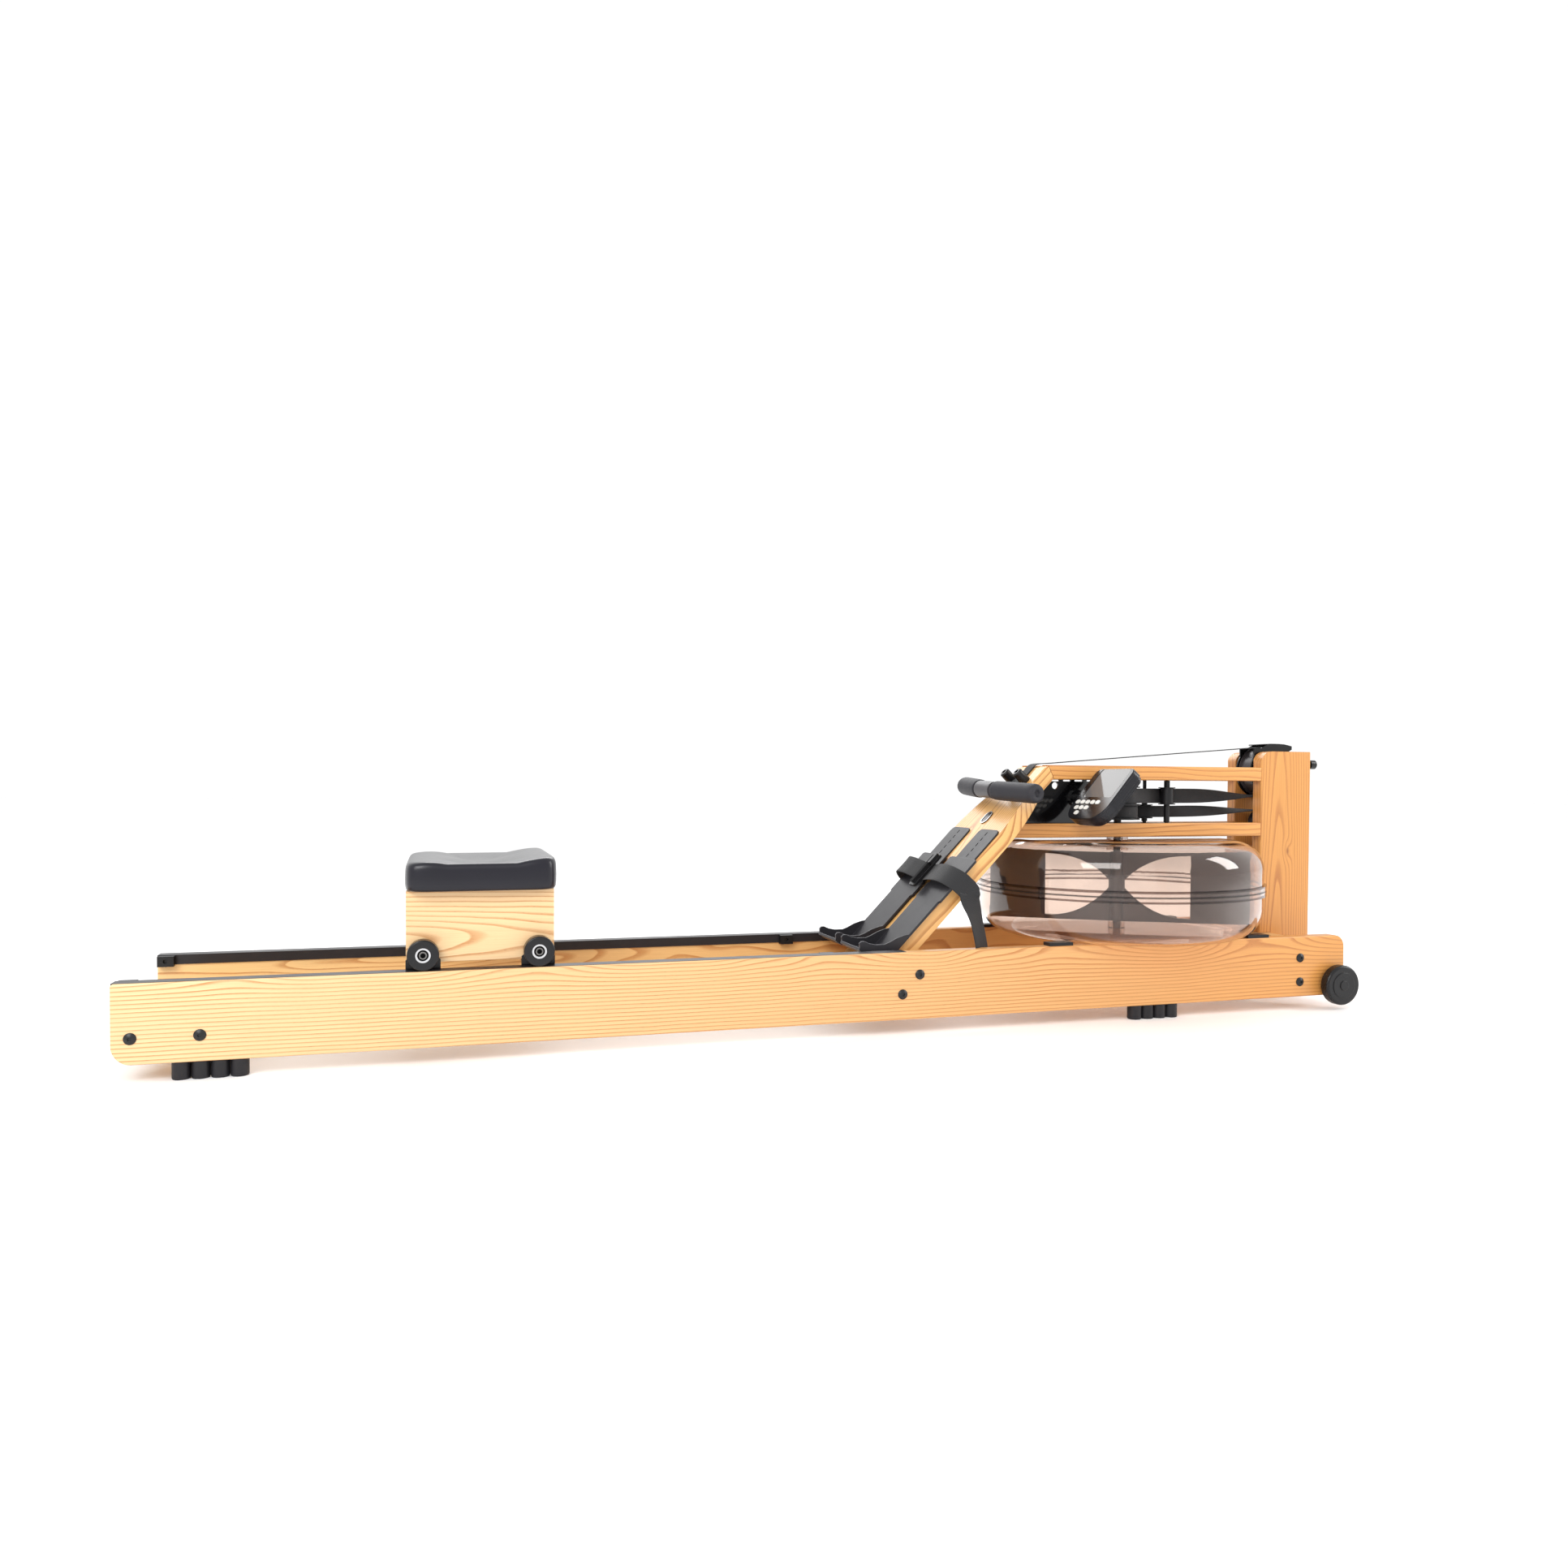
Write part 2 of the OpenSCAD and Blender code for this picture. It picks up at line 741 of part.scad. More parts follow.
module drum_frame() {
  plate_half = arm_in_y - 0.05;
  color(black) translate([rear, 0, 0]) {
    difference() {
      union() {
        for (z = [window_lo - 5, window_hi + 1])
          translate([tank_x - 26, -plate_half, z])
            cube([1800 - tank_x + 26, 2 * plate_half, 4]);
      }
      translate([tank_x, 0, window_lo - 10]) cylinder(r = shaft_r + fit_gap, h = 20);
      translate([tank_x, 0, window_hi - 5]) cylinder(r = shaft_r + fit_gap, h = 20);
    }
    translate([roller_a[0], roller_a[1], window_lo - 1.1])
      cylinder(r = 3.5, h = window_hi - window_lo + 2.2);
    translate([roller_b[0], roller_b[1], window_lo - 1.1])
      cylinder(r = 3.5, h = window_hi - window_lo + 2.2);
  }
}

module guide_roller(at, mid_z, w, sleeve_lo, sleeve_hi, r) {
  translate([rear + at[0], at[1], 0]) difference() {
    union() {
      translate([0, 0, mid_z - w / 2]) cylinder(r = r, h = w);
      translate([0, 0, mid_z - w / 2 - 2]) cylinder(r = r + 3, h = 2.1);
      translate([0, 0, mid_z + w / 2 - 0.1]) cylinder(r = r + 3, h = 2.1);
      translate([0, 0, sleeve_lo]) cylinder(r = 5.5, h = sleeve_hi - sleeve_lo);
    }
    translate([0, 0, sleeve_lo - 1]) cylinder(r = 3.55, h = sleeve_hi - sleeve_lo + 2);
  }
}

module drive_roller() {
  color(black)
    guide_roller(roller_a, drive_z, drive_w + 1, window_lo + 1, window_hi - 1, 12.6);
}

module recoil_roller() {
  color(black)
    guide_roller(roller_b, recoil_mid_z, recoil_w + 1, window_lo + 2, 392, 12.6);
}

pivot_x = 1571.5;
pivot_z = 394.4;
pivot_r = 9;

module mount_plate() {
  lo = board_point(0, -foot_board_t - 0.4);
  slope = cos_b / sin_b;
  color(black) {
    translate([rear, -18, 0]) side_board(4) difference() {
      union() {
        polygon([
          [lo[0] - rear + (333 - lo[1]) * slope, 333],
          [lo[0] - rear + (426 - lo[1]) * slope, 426],
          [1604, 426], [1604, 333]
        ]);
        for (x = [1536, 1560, 1586])
          translate([x, 425]) square([8, 4.4]);
      }
      translate([1527, 418]) circle(6.5);
    }
    translate([rear + pivot_x, 0, pivot_z]) {
      cross_rod(16, -28, -21.9);
      cross_rod(pivot_r, -71, -21.9);
    }
    for (x = [1470, 1590])
      translate([rear + x, 0, 340]) cross_rod(5, -arm_in_y + 0.1, -21.9);
  }
}

// ---------- tank ----------

seal_half = 0.6;
top_round = 52;
base_round = 55;

// half section of the tank's outside, offset inwards by d
module tank_section(d) {
  r = tank_r - d;
  lo = tank_z + d;
  hi = tank_top - d;
  tr = top_round - d;
  br = base_round - d;
  square_lo = lo + br;
  translate([0, lo]) square([r - br, hi - lo]);
  translate([0, square_lo]) square([r, hi - tr - square_lo]);
  translate([0, lo]) square([r - br, br]);
  translate([0, hi - tr - 1]) square([r - tr, tr + 1]);
  translate([r - br, square_lo]) circle(br, $fn = 128);
  translate([r - tr, hi - tr]) circle(tr, $fn = 128);
}

module tank_half(z0, z1) {
  intersection() {
    difference() {
      union() {
        tank_section(0);
        translate([0, tank_joint_z - 9.8]) square([flange_r, 19.6]);
      }
      tank_section(tank_wall);
      translate([0, tank_joint_z - 6]) square([tank_r - tank_wall, 12]);
      translate([-400, 0]) square([400, 900]);
    }
    translate([0, z0]) square([400, z1 - z0]);
  }
}

module tank_upper() {
  neck_h = 20;
  color(smoke) translate([rear + tank_x, 0, 0]) difference() {
    union() {
      rotate_extrude($fn = 128) tank_half(tank_joint_z + seal_half, 400);
      translate([0, 0, tank_top - 12]) cylinder(r = 20, h = 12 + neck_h);
    }
    translate([0, 0, tank_top - 20]) cylinder(r = shaft_r + fit_gap, h = 60);
  }
}

module tank_lower() {
  color(smoke) translate([rear + tank_x, 0, 0]) difference() {
    union() {
      rotate_extrude($fn = 128) tank_half(0, tank_joint_z - seal_half);
      translate([0, 0, tank_z + 1]) cylinder(r = 16, h = 17);
    }
    translate([0, 0, tank_z + 3.5]) cylinder(r = shaft_r + fit_gap, h = 60);
  }
}

// gasket between the halves, and four wedges under the tank
module tank_seal_and_pads() {
  color(black) translate([rear + tank_x, 0, 0]) {
    translate([0, 0, tank_joint_z - seal_half + 0.05]) rotate_extrude($fn = 128)
      translate([tank_r - tank_wall + 1, 0])
        square([flange_r - tank_r + tank_wall - 2, 2 * seal_half - 0.1]);
    both_sides() for (s = [-1, 1])
      difference() {
        translate([s * 206 - 23, -in_y - 23, rail_top + 0.05]) cube([46, 22, 5.5]);
        rotate_extrude($fn = 128) intersection() {
          tank_section(-0.1);
          translate([0, 0]) square([500, 500]);
        }
      }
  }
}

blade_in = 134;
blade_lo = 158;
blade_hi = 299;
hub_z = 231;

// open space between blade and hub, with its waist at the hub
function window_edge(n) = [for (i = [0:n])
  let (u = i / n)
  [15 + (blade_in - 15) * u, 8 + 53 * (1 - pow(1 - u, 2.4))]];

module blade_outline() {
  half = window_edge(9);
  top = [for (q = half) [q[0], hub_z + q[1] * 0.98]];
  low = [for (i = [len(half) - 1:-1:0]) [half[i][0], hub_z - half[i][1] * 1.05]];
  difference() {
    translate([0, blade_lo]) square([paddle_r, blade_hi - blade_lo]);
    polygon(concat(top, low));
  }
}

module paddle() {
  color([0.25, 0.25, 0.27]) translate([rear + tank_x, 0, 0]) {
    translate([0, 0, tank_z + 4]) cylinder(r = shaft_r, h = window_hi + 3 - tank_z - 4);
    translate([0, 0, 161]) cylinder(r = 12, h = 140);
    translate([0, 0, hub_z - 10]) cylinder(r = 15, h = 20);
    for (t = [0, 180])
      rotate([0, 0, paddle_turn + t]) translate([0, 2, 0]) side_board(4) blade_outline();
  }
}

// ---------- castors and feet ----------

castor_cap = 4;

// wheel with a closed, stepped cap on its outer face
module castor() {
  translate([rear + castor_x, -out_y - 5 - castor_w / 2, castor_z]) difference() {
    union() {
      soft_disc(castor_r, castor_w, 5, 0);
      cross_rod(24, -castor_w / 2 - 1.2, 0);
      cross_rod(9, -castor_w / 2 - 2.6, 0);
    }
    cross_rod(castor_pin_r + fit_gap, castor_cap - castor_w / 2, castor_w);
  }
}

module castor_right() {
  color(black) castor();
}

module castor_left() {
  color(black) mirror([0, 1, 0]) castor();
}

foot_pitch = 25;

module feet() {
  color(black) both_sides() for (x = [122.4, 1663.2], i = [-1.5:1:1.5])
    translate([rear + x + i * foot_pitch, -135.5, 0]) {
      cylinder(r1 = 11.5, r2 = 12.35, h = 2);
      translate([0, 0, 1.99]) cylinder(r = 12.35, h = rail_z - 2.04);
    }
}

// ---------- seat ----------

module tracks() {
  color(black) both_sides() translate([rear, 0, 0]) {
    translate([0, -in_y - track_w + 0.05, track_top - track_t + 0.05])
      cube([track_l - 0.1, track_w + lip_t - 0.05, track_t - 0.05]);
    translate([0, -in_y + 0.05, lip_z]) cube([track_l - 0.1, lip_t - 0.05, track_top - lip_z]);
  }
}

stop_x = [2, 1035];
stop_l = 24;

module track_stops() {
  color(black) both_sides() for (x = stop_x)
    translate([rear + x, -in_y + lip_t + 0.05, lip_z - 2]) difference() {
      cube([stop_l, 12, 16.5]);
      translate([stop_l / 2, 20, 8.5]) rotate([90, 0, 0]) cylinder(r = 3.4, h = 12);
    }
}

module seat_pad() {
  mid_x = rear + seat_side_x + seat_side_l / 2 + 1.5;
  dip_x = -3;
  n = 26;
  function crest(x) = x < dip_x
    ? 35.1 + 9.4 * (1 - cos(180 * min((dip_x - x) / 75, 1))) / 2
        - 1.5 * max(0, (-x - 84) / 28)
    : 35.1 + 15 * (1 - cos(180 * min((x - dip_x) / 112, 1))) / 2;
  top = [for (i = [n:-1:0]) let (x = -pad_l / 2 + pad_l * i / n) [x, crest(x)]];
  color(black) translate([mid_x, 0, pad_z]) intersection() {
    translate([0, pad_w / 2, 0]) side_board(pad_w)
      polygon(concat([[-pad_l / 2, 0.05], [pad_l / 2, 0.05]], top));
    translate([-pad_l / 2, -pad_w / 2, 0]) linear_extrude(80) round_rect(pad_l, pad_w, 24);
  }
}

module seat_base() {
  color(ash) translate([rear + seat_side_x, -seat_side_out + seat_side_t + 0.1, pad_z - seat_base_t])
    cube([seat_side_l, 2 * (seat_side_out - seat_side_t) - 0.2, seat_base_t]);
}

module seat_sides() {
  color(ash) both_sides() difference() {
    translate([rear + seat_side_x, -seat_side_out, seat_side_z])
      cube([seat_side_l, seat_side_t, pad_z - seat_side_z - 0.05]);
    for (x = [rear_wheel_x, front_wheel_x])
      translate([rear + x, 0, axle_z]) cross_rod(bolt_hole_r, -140, 0);
  }
}

wheel_in = 126;
wheel_out = 148;
bearing_r = 11;

module wheel_pair(x) {
  translate([rear + x, 0, axle_z]) both_sides()
    translate([0, -(wheel_in + wheel_out) / 2, 0])
      soft_disc(wheel_r, wheel_out - wheel_in, 2.5, bearing_r + fit_gap);
}

module front_wheels() {
  color(black) wheel_pair(front_wheel_x);
}

module rear_wheels() {
  color(black) wheel_pair(rear_wheel_x);
}

module wheel_axles() {
  color(steel) for (x = [rear_wheel_x, front_wheel_x])
    translate([rear + x, 0, axle_z]) both_sides() difference() {
      union() {
        cross_rod(bearing_r, -wheel_out + 1, -wheel_in + 0.2);
        cross_rod(7, -wheel_in, -seat_side_out - 0.05);
        cross_rod(bolt_r, -wheel_in, -seat_side_out + seat_side_t + 4);
        cross_rod(7.5, -seat_side_out + seat_side_t + 0.05, -seat_side_out + seat_side_t + 5);
      }
      difference() {
        cross_rod(8.6, -wheel_out, -wheel_out + 2.6);
        cross_rod(5.6, -wheel_out, -wheel_out + 4);
      }
      translate([0, -wheel_out + 6, 0]) rotate([90, 0, 0]) cylinder(r = 3.8, h = 8, $fn = 6);
    }
}

module guide_blocks() {
  l = 50;
  color(black) both_sides() for (x = [rear_wheel_x, front_wheel_x])
    translate([rear + x, 0, 0]) difference() {
      union() {
        translate([-l / 2, -105, 0]) rotate([90, 0, 0]) linear_extrude(20.4) polygon([
          [0, 139.6], [l, 139.6], [l, seat_side_z - 0.05], [0, seat_side_z - 0.05]
        ]);
        translate([-l / 2, -seat_side_out - 0.05, 0]) rotate([90, 0, 0]) linear_extrude(3.35)
          polygon([
            [0, 139.6], [l, 139.6], [l, 152], [l - 12, 164], [12, 164], [0, 152]
          ]);
        translate([-l / 2, -121.4, 126]) cube([l, 5.4, 18]);
      }
      translate([0, 0, axle_z]) cross_rod(7.2, -140, -100);
    }
}

// ---------- monitor ----------

monitor_at = [1560, -114, 404];
face_t = 4;
face_half = 59;
top_corner = 13;
low_corner = 37;

// frame on the monitor's face: X up its slope, Y to the far side, Z out of the face
module on_monitor() {
  translate([rear + monitor_at[0], monitor_at[1], monitor_at[2]])
    rotate([0, -monitor_slope, 0]) children();
}

// outline of the monitor seen from its front, inset by d
module monitor_outline(d) {
  w = monitor_w / 2;
  up = face_half - top_corner;
  low = -face_half + low_corner;
  polygon([
    [-face_half + d, -w + low_corner + 2], [-face_half + d, w - low_corner - 2],
    [low, w - d], [up, w - d], [face_half - d, w - top_corner],
    [face_half - d, -w + top_corner], [up, -w + d], [low, -w + d]
  ]);
  for (s = [-1, 1]) {
    translate([up, s * (w - top_corner)]) circle(top_corner - d);
    translate([low, s * (w - low_corner)]) circle(low_corner - d);
  }
}

module screen_shape(d) {
  translate([25, -3]) round_rect2(66 - 2 * d, 92 - 2 * d, 6 - d);
}

// rows of keys: along the slope, then across
keys = [
  [-20, 44], [-20, 28], [-20, 12], [-20, -4], [-20, -20],
  [-33, 36], [-33, 20], [-33, 4], [-45, 24]
];
key_l = 12.5;
key_w = 8.5;

module monitor_front() {
  color(black) on_monitor() translate([0, 0, -face_t]) difference() {
    union() {
      linear_extrude(face_t - 1) monitor_outline(0);
      translate([0, 0, face_t - 1.1]) linear_extrude(1.1) monitor_outline(1.5);
    }
    translate([0, 0, -1]) linear_extrude(face_t + 2) screen_shape(0);
    for (k = keys)
      translate([k[0], k[1], -1]) rotate(90) linear_extrude(face_t + 2)
        stadium(key_l + 0.8, key_w + 0.8);
  }
}

module monitor_back() {
  deep = monitor_t - face_t;
  wall = 2.5;
  color(black) difference() {
    on_monitor() translate([0, 0, -face_t - 0.05]) difference() {
      union() {
        translate([0, 0, -12]) linear_extrude(12) monitor_outline(0);
        translate([0, 0, -18]) linear_extrude(6.1) monitor_outline(2.5);
        translate([0, 0, -deep + 1.5]) linear_extrude(5) monitor_outline(6);
        translate([0, 0, -deep]) linear_extrude(2) monitor_outline(9.5);
      }
      translate([0, 0, -deep + wall]) linear_extrude(deep) monitor_outline(9.5 + wall);
      translate([0, 0, -12 + wall]) linear_extrude(20) monitor_outline(wall);
    }
    translate([rear + pivot_x, 0, pivot_z])
      cross_rod(pivot_r + fit_gap, -90, -monitor_w / 2 + 20);
  }
}

module monitor_screen() {
  color([0.62, 0.66, 0.60]) on_monitor() {
    translate([0, 0, -2.6]) linear_extrude(1.8) screen_shape(0.1);
    translate([0, 0, -face_t - 2]) linear_extrude(3.5) screen_shape(2);
  }
}

module key(i) {
  color([0.93, 0.93, 0.90]) on_monitor() translate([keys[i][0], keys[i][1], 0]) rotate(90) {
    translate([0, 0, -face_t - 1]) linear_extrude(face_t + 2.2) stadium(key_l, key_w);
    translate([0, 0, -face_t - 1.8]) linear_extrude(1) stadium(key_l + 3, key_w + 2);
  }
}

module button_1() {
  key(0);
}

module button_2() {
  key(1);
}

module button_3() {
  key(2);
}

module button_4() {
  key(3);
}

module button_5() {
  key(4);
}

module button_6() {
  key(5);
}

module button_7() {
  key(6);
}

module button_8() {
  key(7);
}

module button_9() {
  key(8);
}

rail_right();
rail_left();
rear_crossbar();
front_crossbar();
foot_crossbar();
post_right();
post_left();
arms();
foot_board();
rail_bolts();
tracks();
track_stops();
feet();
castor_right();
castor_left();
frame_axles();
badge();
foot_plates();
heel_rest_right();
heel_rest_left();
foot_strap();
strap_buckle();
handle_pegs();
handle_bar();
handle_grips();
handle_strap();
drum_strap();
top_pulley();
pulley_guard();
recoil_pulley();
recoil_strap();
strap_drum();
drum_frame();
drive_roller();
recoil_roller();
mount_plate();
tank_upper();
tank_lower();
paddle();
tank_seal_and_pads();
monitor_back();
monitor_front();
monitor_screen();
button_1();
button_2();
button_3();
button_4();
button_5();
button_6();
button_7();
button_8();
button_9();
seat_pad();
seat_base();
seat_sides();
front_wheels();
rear_wheels();
wheel_axles();
guide_blocks();
guard_screw();
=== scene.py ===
import math

import bpy
from mathutils import Matrix, Vector


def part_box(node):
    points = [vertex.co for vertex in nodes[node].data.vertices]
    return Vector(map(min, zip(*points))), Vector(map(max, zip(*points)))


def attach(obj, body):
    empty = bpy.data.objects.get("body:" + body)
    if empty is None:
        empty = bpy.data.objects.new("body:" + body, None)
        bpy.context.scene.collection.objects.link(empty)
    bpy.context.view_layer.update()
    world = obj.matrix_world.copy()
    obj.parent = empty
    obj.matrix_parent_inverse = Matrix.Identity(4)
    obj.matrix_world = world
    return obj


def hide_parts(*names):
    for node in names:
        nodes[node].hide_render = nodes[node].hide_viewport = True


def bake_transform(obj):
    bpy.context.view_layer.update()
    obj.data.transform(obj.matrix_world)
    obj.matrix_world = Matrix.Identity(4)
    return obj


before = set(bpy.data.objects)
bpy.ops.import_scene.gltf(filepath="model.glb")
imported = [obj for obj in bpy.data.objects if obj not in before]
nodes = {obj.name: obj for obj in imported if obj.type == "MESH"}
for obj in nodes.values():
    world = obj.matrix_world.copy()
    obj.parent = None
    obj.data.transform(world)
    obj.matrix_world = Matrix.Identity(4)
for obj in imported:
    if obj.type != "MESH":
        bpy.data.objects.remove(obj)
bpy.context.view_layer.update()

# The CAD's own stations, in metres.
REAR = -1.05                              # rear end of the rails; the x of every station counts from it
SLOPE = math.radians(46)                  # slope of the foot board
BOARD_X, BOARD_Z = REAR + 1.183, 0.134    # foot of the board
TANK_X = REAR + 1.6757                    # axis of the tank, the paddle and the drum
TANK_SEAM, TANK_FLANGE = 0.2284, 0.2585   # height of the joint of the two halves, inner radius of their rims
AXLES_X, AXLE_Z = (REAR + 0.4076, REAR + 0.5761), 0.1615    # the seat's wheel axles
PULLEY_X, PULLEY_Z, LOWER_PULLEY_Z = REAR + 2.016, 0.4495, 0.346
LX, LY, LZ = (1, 0, 0), (0, 1, 0), (0, 0, 1)


def board_point(d, y, e):
    """A point on the foot board: d up its slope, y across, e out of its face."""
    return Vector((
        BOARD_X + d * math.cos(SLOPE) - e * math.sin(SLOPE),
        y,
        BOARD_Z + d * math.sin(SLOPE) + e * math.cos(SLOPE),
    ))


UP_BOARD = board_point(1, 0, 0) - board_point(0, 0, 0)
BOARD_L = tuple(UP_BOARD)
BOARD_N = (-math.sin(SLOPE), 0, math.cos(SLOPE))


# ---------------------------------------------------------------- materials


def lin(r, g, b):
    """sRGB 0-255 to a linear colour."""
    out = []
    for c in (r, g, b):
        c /= 255
        out.append(c / 12.92 if c <= 0.04045 else ((c + 0.055) / 1.055) ** 2.4)
    return (*out, 1.0)


class Tree:
    """A material under construction: short names for its nodes and links."""

    def __init__(self, name):
        self.m = bpy.data.materials.new(name)
        self.m.use_nodes = True
        self.t = self.m.node_tree
        self.p = self.t.nodes["Principled BSDF"]
        self.out = self.t.nodes["Material Output"]

    def feed(self, socket, value):
        """Link the socket to another one, or give it a constant."""
        if isinstance(value, bpy.types.NodeSocket):
            self.t.links.new(value, socket)
        else:
            socket.default_value = value

    def node(self, kind, **inputs):
        n = self.t.nodes.new(kind)
        for key, value in inputs.items():
            self.feed(n.inputs[key], value)
        return n

    def set(self, key, value):
        self.feed(self.p.inputs[key], value)

    def math(self, op, *values):
        n = self.t.nodes.new("ShaderNodeMath")
        n.operation = op
        for socket, value in zip(n.inputs, values):
            self.feed(socket, value)
        return n.outputs[0]

    def add(self, a, b):
        return self.math("ADD", a, b)

    def sub(self, a, b):
        return self.math("SUBTRACT", a, b)

    def mul(self, a, b):
        return self.math("MULTIPLY", a, b)

    def div(self, a, b):
        return self.math("DIVIDE", a, b)

    def mul_add(self, a, b, c):
        return self.math("MULTIPLY_ADD", a, b, c)

    def distance(self, a, b):
        """Length of the vector whose two sides are a and b."""
        return self.math("SQRT", self.add(self.mul(a, a), self.mul(b, b)))

    def clamped(self, value):
        value.node.use_clamp = True
        return value

    def dot(self, a, b):
        n = self.t.nodes.new("ShaderNodeVectorMath")
        n.operation = "DOT_PRODUCT"
        self.feed(n.inputs[0], a)
        self.feed(n.inputs[1], b)
        return n.outputs["Value"]

    def xyz(self, p):
        """The three parts of a vector."""
        return [self.dot(p, axis) for axis in (LX, LY, LZ)]

    def coord(self):
        return self.t.nodes.new("ShaderNodeTexCoord").outputs["Object"]

    def join(self, *parts):
        n = self.t.nodes.new("ShaderNodeCombineXYZ")
        for socket, value in zip(n.inputs, parts):
            self.feed(socket, value)
        return n.outputs[0]

    def noise(self, vector, scale, detail=2.0, rough=0.5):
        n = self.node("ShaderNodeTexNoise", Vector=vector, Scale=scale, Detail=detail, Roughness=rough)
        return n.outputs["Fac"]

    def bevelled(self, radius, samples):
        """The normal as it would be with rounded edges."""
        n = self.node("ShaderNodeBevel", Radius=radius)
        n.samples = samples
        return n.outputs["Normal"]

    def ramp(self, fac, stops):
        """Colours between the stops; a stop is a place with a colour, or with one grey value."""
        n = self.t.nodes.new("ShaderNodeValToRGB")
        e = n.color_ramp.elements
        while len(e) < len(stops):
            e.new(0.5)
        for i, (place, colour) in enumerate(stops):
            colour = colour if isinstance(colour, tuple) else (colour,) * 3
            e[i].position = place
            e[i].color = (*colour[:3], 1.0)
        self.feed(n.inputs["Fac"], fac)
        return n.outputs["Color"]

    def mix(self, fac, a, b, blend="MIX"):
        n = self.t.nodes.new("ShaderNodeMix")
        n.data_type = "RGBA"
        n.blend_type = blend
        for socket, value in zip((n.inputs[0], n.inputs[6], n.inputs[7]), (fac, a, b)):
            self.feed(socket, value)
        return n.outputs[2]

    def bump(self, height, strength, depth, **inputs):
        """Relief on the shader's normal; depth is in metres."""
        n = self.node("ShaderNodeBump", Strength=strength, Distance=depth, Height=height, **inputs)
        self.set("Normal", n.outputs["Normal"])

    def surface(self, height, strength, depth, edge):
        """Edges softened over the radius `edge`, and the fine relief."""
        self.bump(height, strength, depth, Normal=self.bevelled(edge, 4))


RAILS = (REAR, -REAR)                     # x of the two ends of the rails
WAVE_LENGTH, WAVE_HEIGHT = 0.44, 0.016    # the steep waves of the rings at a board's edge
RIPPLE = 0.0026                           # their fine unevenness
KNOT_BEND, KNOT_REACH, HEART_REACH = 0.007, 0.00012, 0.000012    # a knot; the last two are squared sizes, m2


